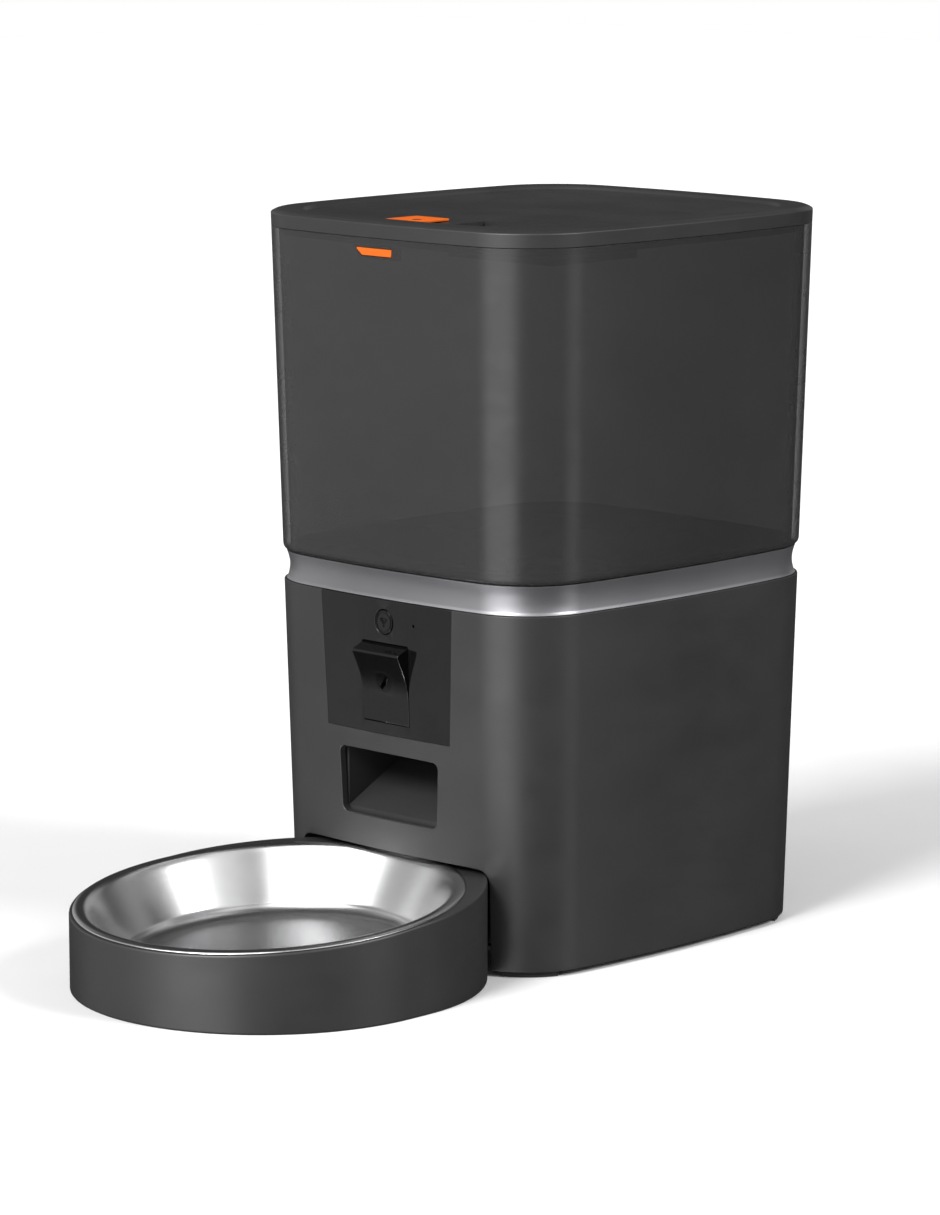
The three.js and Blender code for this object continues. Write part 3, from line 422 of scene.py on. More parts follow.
def housing_holes():
    """What is cut from the shell: doorway, panel seat, outlet, camera pocket and the small bores."""
    holes = [
        front_tool("doorway", bay_outline, hole_stations(0.7 * MM, 27.8 * MM)),
        front_tool("panel_seat", panel_outline, [
            (-3 * MM, 0.07 * MM), (PANEL_THICK + 0.3 * MM, 0.07 * MM)]),
        front_tool("outlet", outlet_outline, hole_stations(0.4 * MM, 12 * MM)),
        block("pocket", -16.6, 16.6, -120, -85, 104, 144),
        front_bore("button_bore", BUTTON, 7.6 * MM, 40),
        front_bore("mic_bore", MICROPHONE, 3.2 * MM, 24),
        front_bore("light_bore", STATUS_LIGHT, 3.2 * MM, 24),
        rod("jack_bore", at(55, 80, 20), at(55, 120, 20), 4.6 * MM),
    ] + speaker_slots()
    holes += [rod(f"boss_bore_{i}", at(x, y, 4), at(x, y, 14.5), 1.7 * MM, 16)
              for i, (x, y) in enumerate(BOSSES)]
    holes += [rod(f"rest_bore_{i}", at(x, y, 151), at(x, y, 157), 1.7 * MM, 16)
              for i, (x, y) in enumerate(DECK_SCREWS)]
    return holes


def base_housing():
    housing = boolean(housing_shell(), housing_fittings(), "UNION")
    boolean(housing, housing_holes())
    housing.name = "base_shell"
    return housing


def front_panel():
    layer = body_tube("panel_layer", [
        (0, PANEL_BOTTOM - 4 * MM), (0, PANEL_TOP - 0.5 * MM), (0.15 * MM, PANEL_TOP - 0.15 * MM),
        (0.5 * MM, PANEL_TOP), (PANEL_THICK, PANEL_TOP), (PANEL_THICK, PANEL_BOTTOM - 4 * MM)])
    plug = front_tool("panel_plug", panel_outline, [
        (-3 * MM, -0.12 * MM), (0.01 * MM, -0.12 * MM), (0.05 * MM, -0.04 * MM), (0.12 * MM, 0),
        (6 * MM, 0)])
    panel = boolean(layer, [plug], "INTERSECT")
    boolean(panel, [
        front_tool("pocket_hole", pocket_outline, hole_stations(0.1 * MM, 6 * MM)),
        front_tool(
            "button_hole", circle(0, BUTTON_Z, BUTTON_RADIUS + 0.5 * MM), hole_stations(0.2 * MM, 6 * MM)),
        front_tool(
            "mic_hole", circle(MICROPHONE[0] * MM, MICROPHONE[1] * MM, 0.75 * MM, 20),
            hole_stations(0.15 * MM, 6 * MM)),
    ])
    panel.name = "gloss_panel"
    return panel


def wifi_button():
    """A round key with a fine ring groove and three arcs over a dot."""
    face = front_y(0, BUTTON_Z) - 0.1 * MM
    place = Matrix.Translation((0, face, BUTTON_Z)) @ Matrix.Rotation(math.radians(90), 4, "X")
    r = BUTTON_RADIUS
    profile = [
        (0, 0), (r - 1.15 * MM, 0), (r - 1.1 * MM, -0.5 * MM), (r - 0.65 * MM, -0.5 * MM),
        (r - 0.6 * MM, 0), (r - 0.15 * MM, 0), (r, -0.2 * MM), (r, -2.6 * MM), (6.6 * MM, -2.6 * MM),
        (6.6 * MM, -3.1 * MM), (2.2 * MM, -3.1 * MM), (2.2 * MM, -3.4 * MM), (0, -3.4 * MM)]
    key = lathe("key", profile, 72, place)
    marks = []
    for i, radius in enumerate((1.3, 2.3, 3.3)):
        outer = arc(0, -1.6 * MM, (radius + 0.3) * MM, math.radians(45), math.radians(136), 14)
        inner = arc(0, -1.6 * MM, (radius - 0.3) * MM, math.radians(135), math.radians(44), 14)
        marks.append(skin(f"wave_{i}", [[Vector((x, face + y, BUTTON_Z + z)) for x, z in outer + inner]
                                        for y in (-0.3 * MM, 0.8 * MM)]))
    dot = arc(0, -1.6 * MM, 0.5 * MM, 0, 2 * math.pi, 16)
    marks.append(skin("wave_dot", [[Vector((x, face + y, BUTTON_Z + z)) for x, z in dot]
                                   for y in (-0.3 * MM, 0.8 * MM)]))
    boolean(key, marks)
    key.name = "wifi_key"
    return key


def pod_profile():
    """The pod's side view in millimetres, from the toe round the foot, back and crown to the brow."""
    pivot_y, pivot_z = POD_PIVOT
    foot, crown, toe, back = 15.9, 22.15, -99.8, -86

    def edge(z):
        """Where the front surface is at this height."""
        return (front_y(0, z * MM) - AXIS_Y) / MM

    def swing(radius, start, end, side):
        """Points on the pivot's arc between two y positions, below or above the pivot."""
        a = math.atan2(side * math.sqrt(radius**2 - (start - pivot_y) ** 2), start - pivot_y)
        b = math.atan2(side * math.sqrt(radius**2 - (end - pivot_y) ** 2), end - pivot_y)
        return arc(pivot_y, pivot_z, radius, a, b, 14)

    points = swing(foot, toe, back, -1) + [(back, pivot_z - math.sqrt(foot**2 - (back - pivot_y) ** 2))]
    points += swing(crown, back, edge(141.7), 1)
    start = Vector((edge(130.8) - 2.9, 130.8))
    brow = [(points[-1][0], points[-1][1], 0), (edge(139) - 6.5, 139, 1.1), (start.x, start.y, 0)]
    points += rounded(brow, 5, closed=False)[1:-1]
    control = Vector((edge(123.9), 123.9))
    end = Vector((edge(117), 117))
    steps = 12
    for i in range(steps + 1):
        t = i / steps
        points.append(tuple(start * (1 - t) ** 2 + control * 2 * t * (1 - t) + end * t * t))
    return points


def behind_lens(distance):
    """A point on the lens axis, this many millimetres behind the window's middle."""
    return at(0, -101.2 + distance * math.cos(LENS_TILT), 125 + distance * math.sin(LENS_TILT))


def camera_pod():
    profile = pod_profile()
    stations = (-POD_HALF, 0.6 - POD_HALF, 0, POD_HALF - 0.6, POD_HALF)
    pod = skin("pod", [[at(x, y, z) for y, z in profile] for x in stations])
    bevel(pod, 0.22 * MM, 3, 60)
    boolean(pod, [
        block("pod_room", -12, 12, -97, -80, 108.5, 139.5),
        rod("pod_pin_bore", at(-30, *POD_PIVOT), at(30, *POD_PIVOT), 1.8 * MM, 24),
        rod("pod_lens_bore", behind_lens(-6), behind_lens(8), LENS_RADIUS + 0.08 * MM, 64),
        rod("pod_sensor", at(-0.6, -120, 135), at(-0.6, -98, 135), 0.6 * MM, 16),
    ])
    pod.name = "camera_pod"
    return pod


def camera_lens():
    """A clear window that follows the pod's face, with a slanted slit before the lens itself."""
    lens = rod("lens_window", behind_lens(-6), behind_lens(5.4), LENS_RADIUS, 64)
    face = [(y + 0.05, z) for y, z in pod_profile()]
    boolean(lens, [skin("window_face", [[at(x, y, z) for y, z in face] for x in (-12, 12)])], "INTERSECT")
    half, reach, corner = 1.0 * MM, 3.9 * MM, 0.3 * MM
    mark = rounded([(-half, -reach, corner), (half, -reach, corner),
                    (half, reach, corner), (-half, reach, corner)], 4)
    cos, sin = math.cos(math.radians(-44)), math.sin(math.radians(-44))
    turned = [(0.3 * MM + x * cos - z * sin, 124.7 * MM + x * sin + z * cos) for x, z in mark]
    slit = skin("lens_slit", [[Vector((x, AXIS_Y + y * MM, z)) for x, z in turned] for y in (-112, -98.2)])
    boolean(lens, [slit])
    lens.name = "lens_window"
    return lens


def waist_band():
    """A hollow-faced ring between base and tank."""
    steps = 18
    low, high = BAND_LO.z, BAND_HI.z
    profile = []
    for i in range(steps + 1):
        t = i / steps
        inset = 1.15 + 1.15 * math.sin(math.pi * (0.02 + 0.96 * t))
        if i == 0:
            inset = 0.9
        profile.append((inset * MM, low + (high - low) * t))
    profile += [(6.8 * MM, high), (6.8 * MM, low)]
    return body_tube("waist_band_smooth", profile)


# ---- tank and lid ----------------------------------------------------------------------------
def catch_outline(grow):
    """A catch that leans in at its lower left corner."""
    left, right, bottom, top = -12.9, 9.7, 314.5, 317.8
    g = grow / MM
    corners = [(left + 4.2 - g, bottom - g), (right - 0.4 + g, bottom - g), (right + g, top + g),
               (left - 2 * g, top + g)]
    return rounded([(x * MM, z * MM, 0.35 * MM) for x, z in corners], 3)


def food_tank():
    low, high = TANK_LO.z, TANK_HI.z
    outer = [(2.5, 0), (1.8, 0.05), (1.2, 0.25), (0.7, 0.65), (0.32, 1.2), (0.1, 1.9), (0, 3.0)]
    profile = [(inset * MM, low + rise * MM) for inset, rise in outer]
    profile += [(0, low + (high - low) * t) for t in (0.33, 0.66)]
    profile += [(0, high - 0.15 * MM), (0.15 * MM, high), (TANK_WALL, high)]
    profile += [(TANK_WALL, low + (high - low) * t) for t in (0.66, 0.33)]
    profile += [(TANK_WALL, low)]
    tank = body_tube("tank_shell", profile)
    boolean(tank, [front_tool("catch_slot", catch_outline, [(-3 * MM, 0.25 * MM), (8 * MM, 0.25 * MM)])])
    tank.name = "tank_smooth"
    return tank


def tank_floor():
    """A funnel from the tank's foot down to its round throat."""
    def round_loop(radius, z):
        angles = [math.atan2(y, x) for x, y in OUTLINE]
        return [Vector((radius * math.cos(t), AXIS_Y + radius * math.sin(t), z)) for t in angles]

    def blend_loop(z, inset, radius, share):
        squared, circle_loop = body_loop(z, inset), round_loop(radius, z)
        return [a.lerp(b, share) for a, b in zip(squared, circle_loop)]

    throat, spigot = 45.6 * MM, 48 * MM
    loops = [body_loop(178 * MM, 3.1 * MM), body_loop(175.8 * MM, 3.1 * MM), body_loop(175.8 * MM, 8 * MM),
             body_loop(174.6 * MM, 8 * MM)]
    for i in range(1, 6):
        t = i / 6
        loops.append(blend_loop((174.6 - 8 * t) * MM, (8 + 34 * t) * MM, spigot, t))
    loops += [round_loop(spigot, 166 * MM), round_loop(spigot, 162 * MM), round_loop(throat, 162 * MM),
              round_loop(throat, 167.4 * MM)]
    for i in range(1, 7):
        t = i / 6
        loops.append(blend_loop((167.4 + 10.6 * t) * MM, (42 - 37.4 * t) * MM, throat, 1 - t))
    return skin("tank_funnel", loops, closed=True)


def tank_catch():
    face = front_tool("catch_face", catch_outline, [
        (0, -0.25 * MM), (0.07 * MM, -0.08 * MM), (0.25 * MM, 0), (2.9 * MM, 0)])
    flange = front_tool(
        "catch_flange", rectangle(14.9, 11.7, 312.8, 318.4), [(2.85 * MM, 0), (3.9 * MM, 0)])
    boolean(face, [flange], "UNION")
    face.name = "catch_smooth"
    return face


def lid_shell():
    roof = [(9, 324.6), (9, 322.5), (7.2, 322.5)]
    spigot = [(7.2, 318.6), (5.2, 318.6), (5.2, 322.35), (0.12, 322.35)]
    side = [(0, 322.5), (0, 328.0), (0.08, 328.35), (0.32, 328.65), (0.8, 329.0)]
    brim = [(1.8, 329.55), (2.6, 329.85), (3.4, 330), (10.6, 330), (11.4, 329.9), (12.0, 329.6)]
    dish = [(12.8, 328.6), (13.3, 328.15), (14.2, 328)]
    lid = body_block("lid", [(inset * MM, z * MM) for inset, z in roof + spigot + side + brim + dish])
    anchor = block("spring_anchor", -21.5, -19.5, -84, -76, 319, 325)
    boolean(lid, [anchor], "UNION")
    ramp = [(21, 325.9), (39, 328.05), (39, 332), (21, 332)]
    scoop = skin("scoop", [[at(x, y, z) for x, z in ramp] for y in (-86, -59)])
    slot = block("knob_slot", -4.4, 11.6, -85.4, -74.6, 324, 332)
    boolean(lid, [scoop, slot])
    lid.name = "lid_smooth"
    return lid


def lid_gasket():
    profile = rounded([(3.2 * MM, 318.9 * MM, 0.4 * MM), (3.2 * MM, 321.9 * MM, 0.4 * MM),
                       (4.9 * MM, 321.9 * MM, 0.4 * MM), (4.9 * MM, 318.9 * MM, 0.4 * MM)], 3)
    return body_tube("gasket_smooth", profile)


def latch_slider():
    front, rear, corner = LATCH_Y - KNOB_HALF, LATCH_Y + KNOB_HALF, 1.0
    outline = rounded([(-KNOB_HALF, front, corner), (KNOB_HALF, front, corner),
                       (KNOB_HALF, rear, corner), (-KNOB_HALF, rear, corner)], 5)
    knob = prism_z("knob", outline, 328.3, 329.3)
    bevel(knob, 0.25 * MM, 3, 40)
    stem = block("stem", -4, 4, -85, -75, 319, 328.8)
    arm = block("arm", -4, 4, -97, -80, 319, 321)
    drop = block("drop", -10, 4, -97, -94.5, 314.1, 321)
    tongue = block("tongue", -10, 4, -100.3, -94.5, 314.1, 317.4)
    boolean(knob, [stem, arm, drop, tongue], "UNION")
    reach = Vector((0, 0, 0.6 * MM))
    boolean(knob, [rod("knob_hole", KNOB_DIMPLE - reach, KNOB_DIMPLE + reach, 2.2 * MM, 36)])
    knob.name = "latch_knob"
    return knob


# ---- tray and bowl ---------------------------------------------------------------------------
def tray_loop(radius, height, obround=True):
    """A loop about the bowl, an obround this far out or a circle, at the height given for each y."""
    points = []
    for start, middle in ((0, -159.6), (math.pi, -171.9)):
        y0 = AXIS_Y + middle * MM if obround else BOWL_CENTRE.y
        for i in range(61):
            t = start + math.pi * i / 60
            x, y = radius * math.cos(t), y0 + radius * math.sin(t)
            points.append(Vector((x, y, height(y))))
    return points


def feeding_tray():
    def below_rim(drop):
        fall = (1.2 * MM + drop) / math.cos(BOWL_TILT)
        return lambda y: BOWL_CENTRE.z + (y - BOWL_CENTRE.y) * math.tan(BOWL_TILT) - fall

    def level(z):
        return lambda y: z

    r = TRAY_RADIUS
    loops = [tray_loop(r - 1.0 * MM, level(0)), tray_loop(r - 0.35 * MM, level(0.15 * MM)),
             tray_loop(r - 0.08 * MM, level(0.5 * MM)), tray_loop(r, level(1.1 * MM)),
             tray_loop(r, below_rim(1.1 * MM)), tray_loop(r - 0.1 * MM, below_rim(0.5 * MM)),
             tray_loop(r - 0.4 * MM, below_rim(0.12 * MM)), tray_loop(r - 0.9 * MM, below_rim(0)),
             tray_loop(WELL_RADIUS + 0.6 * MM, below_rim(0), False),
             tray_loop(WELL_RADIUS, below_rim(0.6 * MM), False),
             tray_loop(WELL_RADIUS, level(4.2 * MM), False),
             tray_loop(WELL_RADIUS - 0.6 * MM, level(3.6 * MM), False)]
    return skin("tray_smooth", loops)


def steel_bowl():
    """Thin spun steel: a rolled edge, a narrow flange, a conical wall and a flat floor."""
    fillet = arc(56.5, -16.5, 10.5, -math.pi / 2, math.radians(-32.4), 10)
    inner = [(0, -27), (30, -27)] + fillet + [(65.9, -22.1), (77.8, -4.1)]
    flange = [(78.7, -2.8), (79.5, -1.7), (80.4, -0.85), (81.3, -0.35), (82.3, -0.07), (83.3, 0)]
    roll = [(84.3, -0.08), (85.1, -0.3), (85.65, -0.6), (85.9, -0.95), (85.6, -1.15), (84.8, -1.1)]
    under = [(83.3, -0.95), (81.8, -1.1), (80.9, -1.5), (80.2, -2.0), (79.4, -3.4), (78.5, -4.9)]
    outer = [(66.8, -22.6), (64.6, -25.2), (61.6, -27.0), (58.5, -27.75), (56.5, -27.9), (0, -27.9)]
    profile = [(r * MM, z * MM) for r, z in inner + flange + roll + under + outer]
    place = Matrix.Translation(BOWL_CENTRE) @ Matrix.Rotation(BOWL_TILT, 4, "X")
    return lathe("bowl_smooth", profile, 160, place, sharp=50)


# ---- materials -------------------------------------------------------------------------------
class Finish:
    """A node material under construction: one Principled shader fed by object-space textures."""

    def __init__(self, name):
        self.material = bpy.data.materials.new(name)
        self.material.use_nodes = True
        self.tree = self.material.node_tree
        self.shader = next(n for n in self.tree.nodes if n.type == "BSDF_PRINCIPLED")
        self.place = self.node("ShaderNodeTexCoord").outputs["Object"]

    def node(self, kind, **inputs):
        made = self.tree.nodes.new(kind)
        for name, value in inputs.items():
            self.feed(made.inputs[name.replace("_", " ")], value)
        return made

    def feed(self, socket, value):
        if isinstance(value, bpy.types.NodeSocket):
            self.tree.links.new(value, socket)
        else:
            socket.default_value = value

    def noise(self, scale, detail=2.0, rough=0.5, stretch=(1, 1, 1)):
        vector = self.node("ShaderNodeMapping", Vector=self.place, Scale=stretch)
        made = self.node("ShaderNodeTexNoise", Scale=scale, Detail=detail, Roughness=rough)
        self.feed(made.inputs["Vector"], vector.outputs["Vector"])
        return made.outputs["Fac"]

    def ranged(self, value, low, high, start=0.3, end=0.7):
        made = self.node("ShaderNodeMapRange")
        made.interpolation_type = "SMOOTHSTEP"
        span = {"Value": value, "From Min": start, "From Max": end, "To Min": low, "To Max": high}
        for name, number in span.items():
            self.feed(made.inputs[name], number)
        return made.outputs["Result"]

    def mixed(self, share, first, second):
        made = self.node("ShaderNodeMix")
        made.data_type = "RGBA"
        self.feed(made.inputs[0], share)
        self.feed(made.inputs[6], first)
        self.feed(made.inputs[7], second)
        return made.outputs[2]

    def combined(self, operation, first, second):
        made = self.node("ShaderNodeMath")
        made.operation = operation
        self.feed(made.inputs[0], first)
        self.feed(made.inputs[1], second)
        return made.outputs[0]

    def edges(self):
        """1 along outward edges and 0 elsewhere."""
        return self.ranged(self.node("ShaderNodeNewGeometry").outputs["Pointiness"], 0, 1, 0.52, 0.62)

    def bumped(self, height, distance):
        made = self.node("ShaderNodeBump", Height=height, Distance=distance, Strength=1.0)
        self.feed(self.shader.inputs["Normal"], made.outputs["Normal"])

    def set(self, **inputs):
        for name, value in inputs.items():
            self.feed(self.shader.inputs[name.replace("_", " ")], value)
        return self


def rgb(r, g, b):
    return (r, g, b, 1.0)


def scaled(colour, factor):
    return tuple(c * factor for c in colour[:3]) + (1.0,)


def plastic(name, colour, rough, spread=0.05, grain=0.000012, tone=0.12, wear=1.35, **constants):
    """Moulded plastic: faint cloudy tone, uneven gloss, fine texture and lighter rubbed edges."""
    f = Finish(name)
    cloud = f.ranged(f.noise(9, 3), 0, 1)
    body = f.mixed(cloud, scaled(colour, 1 - tone), scaled(colour, 1 + tone))
    rubbed = f.combined("MULTIPLY", f.edges(), f.ranged(f.noise(70, 3), 0.2, 0.8))
    f.set(Base_Color=f.mixed(rubbed, body, scaled(colour, wear)))
    smears = f.ranged(f.noise(26, 5, 0.6, (1, 1, 2.2)), rough - spread, rough + spread)
    f.set(Roughness=smears, **constants)
    f.bumped(f.noise(2600, 2), grain)
    return f.material


def tinted_tank():
    """Dark see-through plastic: it dims what lies behind it and keeps a clear gloss."""
    f = Finish("tinted_tank")
    cloud = f.ranged(f.noise(7, 3), 0, 1)
    f.set(Base_Color=f.mixed(cloud, rgb(0.0225, 0.0225, 0.0227), rgb(0.027, 0.027, 0.0272)))
    f.set(Roughness=f.ranged(f.noise(22, 5, 0.6, (1, 1, 2.0)), 0.24, 0.32))
    slant = f.node("ShaderNodeLayerWeight", Blend=0.5).outputs["Facing"]
    f.set(Alpha=f.ranged(slant, TANK_ALPHA, 0.97, 0.55, 0.85))
    f.bumped(f.noise(420, 2), 0.000006)
    return f.material


def spun_steel():
    """Stainless steel spun on a lathe: fine rings about the bowl's axis, faint smudges."""
    f = Finish("spun_steel")
    centred = f.node("ShaderNodeVectorMath")
    centred.operation = "SUBTRACT"
    f.feed(centred.inputs[0], f.place)
    centred.inputs[1].default_value = BOWL_CENTRE
    split = f.node("ShaderNodeSeparateXYZ", Vector=centred.outputs[0])
    flat = f.node("ShaderNodeCombineXYZ", X=split.outputs["X"], Y=split.outputs["Y"])
    radius = f.node("ShaderNodeVectorMath")
    radius.operation = "LENGTH"
    f.feed(radius.inputs[0], flat.outputs[0])
    rings = f.node("ShaderNodeTexNoise", Scale=1500.0, Detail=3.0, Roughness=0.6)
    rings.noise_dimensions = "1D"
    f.feed(rings.inputs["W"], radius.outputs["Value"])
    smudge = f.ranged(f.noise(18, 4, 0.6), 0, 1)
    f.set(Base_Color=f.mixed(smudge, rgb(0.66, 0.66, 0.665), rgb(0.74, 0.74, 0.745)), Metallic=1.0)
    f.set(Roughness=f.combined("ADD", f.ranged(rings.outputs["Fac"], -0.01, 0.01),
                               f.ranged(smudge, 0.23, 0.24, 0, 1)))
    f.bumped(rings.outputs["Fac"], 0.0000002)
    return f.material


def metal(name, colour, rough, grain_scale=160, stretch=(1, 1, 1)):
    """Bare metal with fine drawn grain, uneven polish and a little tarnish."""
    f = Finish(name)
    tarnish = f.ranged(f.noise(45, 4, 0.6), 0, 1)
    f.set(Base_Color=f.mixed(tarnish, scaled(colour, 0.82), colour), Metallic=1.0)
    grain = f.noise(grain_scale, 4, 0.6, stretch)
    f.set(Roughness=f.ranged(grain, rough - 0.07, rough + 0.09))
    f.bumped(grain, 0.00002)
    return f.material


def circuit_board():
    """Solder mask over fine copper tracks."""
    f = Finish("circuit_board")
    tracks = f.node("ShaderNodeTexVoronoi", Vector=f.place, Scale=320.0)
    tracks.distance = "MANHATTAN"
    line = f.ranged(tracks.outputs["Distance"], 1, 0, 0.35, 0.45)
    f.set(Base_Color=f.mixed(line, rgb(0.008, 0.07, 0.03), rgb(0.02, 0.16, 0.07)))
    f.set(Roughness=f.ranged(f.noise(90, 3), 0.3, 0.45))
    f.bumped(line, 0.00003)
    return f.material


FINISHES = {
    "housing_plastic": plastic("satin_housing", rgb(0.0195, 0.0195, 0.0198), 0.42),
    "panel_plastic": plastic("gloss_black", rgb(0.0035, 0.0035, 0.0035), 0.06, 0.02, 0.000001, wear=3),
    "tank_plastic": tinted_tank(),
    "band_plastic": plastic(
        "silver_band", rgb(0.25, 0.25, 0.262), 0.38, 0.015, grain=0.000003, Metallic=0.85),
    "orange_plastic": plastic(
        "orange_plastic", rgb(0.68, 0.118, 0.004), 0.45, tone=0.05, wear=1.1, Specular_IOR_Level=0.3),
    "bowl_steel": spun_steel(),
    "inner_plastic": plastic("matt_inner", rgb(0.016, 0.016, 0.0163), 0.6),
    "white_plastic": plastic("natural_acetal", rgb(0.68, 0.68, 0.65), 0.5, tone=0.04, wear=1.05),
    "silicone": plastic("grey_silicone", rgb(0.07, 0.07, 0.072), 0.65, grain=0.00003),
    # black rubber also paints the shade in the latch knob's dimple
    "rubber": plastic("black_rubber_and_dimple_shade", rgb(0.014, 0.014, 0.014), 0.8, grain=0.00004, wear=1.8),
    "circuit_board": circuit_board(),
    "steel_parts": metal("zinc_plate", rgb(0.56, 0.56, 0.57), 0.33),
    "motor_metal": metal("motor_can", rgb(0.5, 0.5, 0.51), 0.38, 90, (1, 1, 6)),
    "brass": metal("brass", rgb(0.72, 0.5, 0.2), 0.34),
    "battery_sleeve": plastic("battery_sleeve", rgb(0.3, 0.17, 0.06), 0.35, tone=0.15, Metallic=0.3),
    "lens_glass": plastic("lens_glass", rgb(0.002, 0.002, 0.0022), 0.05, 0.015, 0.000001, wear=1.5),
}


def show(piece, node, slot):
    """This piece stands in for its CAD node, rides on the node's body and takes the slot's finish."""
    body = next(name for name, nodes in frame["record"]["behaviour"]["bodies"].items() if node in nodes)
    piece.data.materials.clear()
    piece.data.materials.append(FINISHES[slot])
    piece.modifiers.new("even_shading", "WEIGHTED_NORMAL").keep_sharp = True
    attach(piece, body)
    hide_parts(node)


SLOTS = {part["node"]: part["material_slot"] for part in frame["record"]["subparts"]}
for cad_name, cad_node in frame["nodes"].items():
    cad_node.data.materials.clear()
    cad_node.data.materials.append(FINISHES[SLOTS[cad_name]])

PIECES = {
    "base_housing": base_housing,
    "front_panel": front_panel,
    "wifi_button": wifi_button,
    "camera_housing": camera_pod,
    "camera_lens": camera_lens,
    "waist_band": waist_band,
    "food_tank": food_tank,
    "tank_floor": tank_floor,
    "tank_catch": tank_catch,
    "lid_shell": lid_shell,
    "lid_gasket": lid_gasket,
    "latch_slider": latch_slider,
    "feeding_tray": feeding_tray,
    "steel_bowl": steel_bowl,
}
for node_name, build in PIECES.items():
    show(build(), node_name, SLOTS[node_name])

# The floor of the dimple in the latch's knob takes the black rubber finish: painted shade in the hollow.
latch = bpy.data.objects["latch_knob"]
latch.data.materials.append(FINISHES["rubber"])
for face in latch.data.polygons:
    if (face.center - KNOB_DIMPLE).length < 2.4 * MM and face.center.z < 329.25 * MM:
        face.material_index = 1


# ---- studio ----------------------------------------------------------------------------------
def direction(azimuth, elevation):
    """A unit vector towards this azimuth, turned from -Y towards +X, and elevation, in degrees."""
    a, e = math.radians(azimuth), math.radians(elevation)
    return Vector((math.sin(a) * math.cos(e), -math.cos(a) * math.cos(e), math.sin(e)))


def studio_floor():
    half = 6.0
    corners = [(-half, -half, 0), (half, -half, 0), (half, half, 0), (-half, half, 0)]
    floor = mesh_object("studio_floor", corners, [(0, 1, 2, 3)])
    f = Finish("studio_paper")
    f.set(Base_Color=f.mixed(f.ranged(f.noise(3, 3), 0, 1), rgb(0.86, 0.86, 0.86), rgb(0.88, 0.88, 0.88)))
    f.set(Roughness=f.ranged(f.noise(40, 3), 0.7, 0.8))
    f.bumped(f.noise(500, 3), 0.00001)
    floor.data.materials.append(f.material)
    floor.visible_glossy = False


class Room:
    """The world's shader: what light arrives from each direction."""

    def __init__(self):
        self.world = bpy.data.worlds.new("studio")
        self.world.use_nodes = True
        self.tree = self.world.node_tree
        self.tree.nodes.clear()
        self.towards = self.tree.nodes.new("ShaderNodeTexCoord").outputs["Generated"]
        self.height = self.node("ShaderNodeSeparateXYZ", self.towards).outputs["Z"]

    def node(self, kind, *values, **settings):
        made = self.tree.nodes.new(kind)
        for name, value in settings.items():
            setattr(made, name, value)
        for socket, value in zip(made.inputs, values):
            if isinstance(value, bpy.types.NodeSocket):
                self.tree.links.new(value, socket)
            else:
                socket.default_value = value
        return made

    def fade(self, value, start, end):
        made = self.node(
            "ShaderNodeMapRange", value, start, end, 0.0, 1.0, interpolation_type="SMOOTHSTEP")
        return made.outputs["Result"]

    def maths(self, operation, first, second):
        return self.node("ShaderNodeMath", first, second, operation=operation).outputs[0]

    def card(self, azimuth, full, faded, low, high, level):
        """A soft-edged upright card: bright to this many degrees either side of its azimuth, gone
        at the second number, between two elevations given as (gone, full) and (full, gone)."""
        flat = self.node("ShaderNodeVectorMath", self.towards, (1, 1, 0), operation="MULTIPLY").outputs[0]
        flat = self.node("ShaderNodeVectorMath", flat, operation="NORMALIZE").outputs[0]
        facing = self.node("ShaderNodeVectorMath", flat, direction(azimuth, 0), operation="DOT_PRODUCT")
        outer, inner = math.cos(math.radians(faded)), math.cos(math.radians(full))
        glow = self.fade(facing.outputs["Value"], outer, inner)
        for gone, bright in (low, high):
            edge = self.fade(self.height, math.sin(math.radians(gone)), math.sin(math.radians(bright)))
            glow = self.maths("MULTIPLY", glow, edge)
        return self.maths("MULTIPLY", glow, level)

    def light(self, strength):
        return self.node("ShaderNodeBackground", (1, 1, 1, 1), strength).outputs[0]


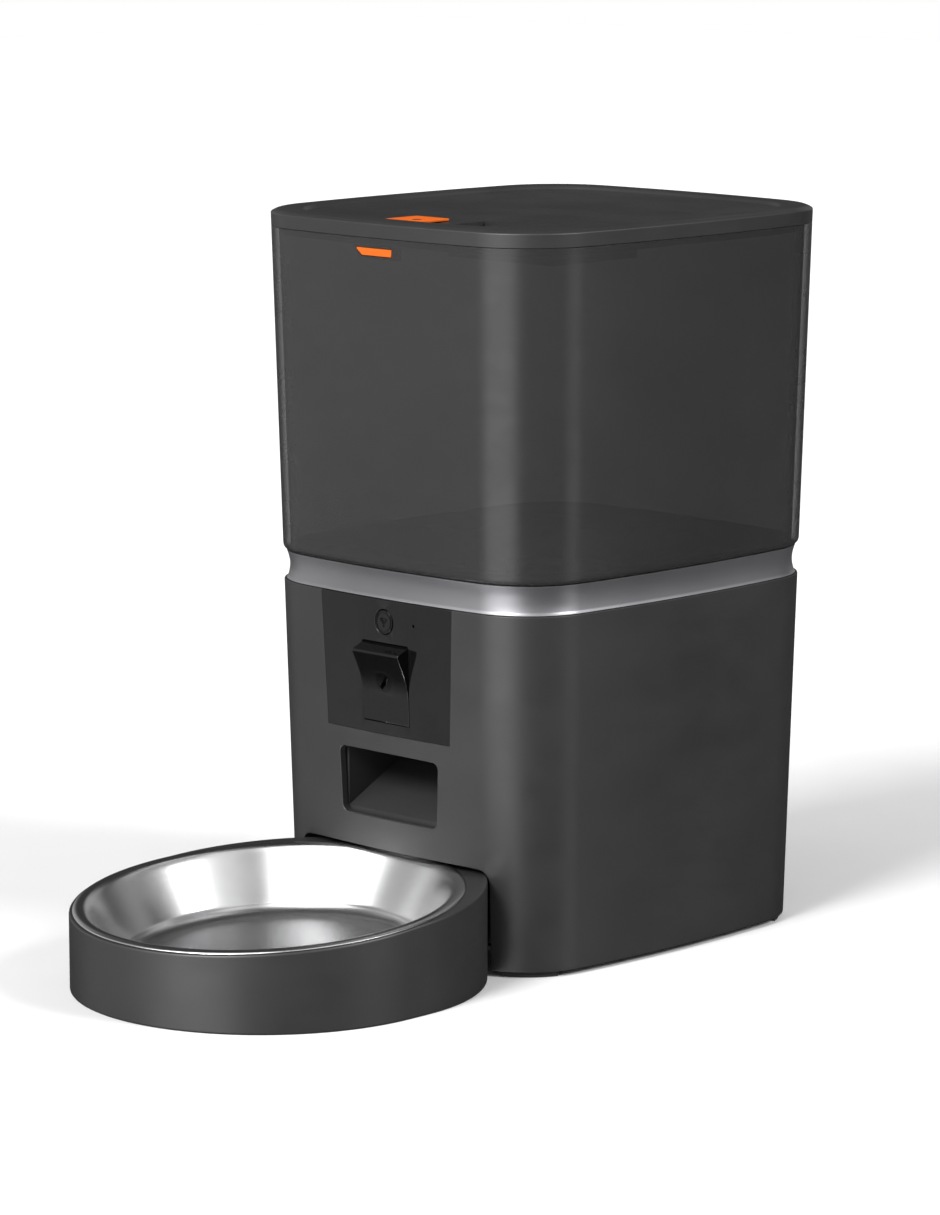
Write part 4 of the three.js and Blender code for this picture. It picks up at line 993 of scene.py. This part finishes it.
def studio_world(backdrop, ambient, dim, cards):
    """White behind the object and an even soft light on it; reflections see a dim room with a
    few tall white cards."""
    room = Room()
    path = room.node("ShaderNodeLightPath")
    seen = dim
    for card in cards:
        seen = room.maths("ADD", seen, room.card(*card))
    diffuse, camera = path.outputs["Is Diffuse Ray"], path.outputs["Is Camera Ray"]
    soft = room.node("ShaderNodeMixShader", diffuse, room.light(seen), room.light(ambient))
    whole = room.node("ShaderNodeMixShader", camera, soft.outputs[0], room.light(backdrop))
    room.node("ShaderNodeOutputWorld", whole.outputs[0])
    bpy.context.scene.world = room.world


def softlight(name, azimuth, elevation, spread, strength):
    """A distant soft light from this direction, this many degrees across."""
    light = bpy.data.lights.new(name, "SUN")
    light.angle = math.radians(spread)
    light.energy = strength
    lamp = bpy.data.objects.new(name, light)
    bpy.context.scene.collection.objects.link(lamp)
    lamp.rotation_mode = "QUATERNION"
    lamp.rotation_quaternion = (-direction(azimuth, elevation)).to_track_quat("-Z", "Y")


def studio_camera():
    """A long lens from the object's front right, a little above."""
    target = Vector((0, 0.0298, 0.1519))
    distance = 2.167
    camera = bpy.data.cameras.new("camera")
    camera.sensor_width = 36
    camera.sensor_fit = "AUTO"
    camera.lens = 142.62
    holder = bpy.data.objects.new("camera", camera)
    bpy.context.scene.collection.objects.link(holder)
    towards = direction(44.586, 9.796)
    holder.location = target + towards * distance
    holder.rotation_mode = "QUATERNION"
    holder.rotation_quaternion = (-towards).to_track_quat("-Z", "Y")
    bpy.context.scene.camera = holder


CARDS = [                                     # azimuth, full, faded, (gone, full), (gone, full), level
    (-50, 26, 42, (-38, -16), (60, 30), 0.44),
    (4, 8, 32, (-50, -25), (30, 12), 2.9),
    (112, 3, 15, (-50, -25), (30, 12), 0.95),
    (0, 36, 48, (16, 30), (85, 70), 2.6),
    (100, 0, 60, (16, 30), (85, 70), 0.9),
    (-96, 15, 30, (-8, 2), (35, 22), 0.4),
    (-164, 10, 22, (-8, 2), (35, 22), 0.35),
]
studio_floor()
studio_world(1.0, 0.42, 0.03, CARDS)
softlight("key", 6, 38, 22, 3.0)
softlight("fill", 109, 34, 20, 2.0)
studio_camera()
bpy.context.scene.view_settings.view_transform = "Standard"

bpy.context.view_layer.update()
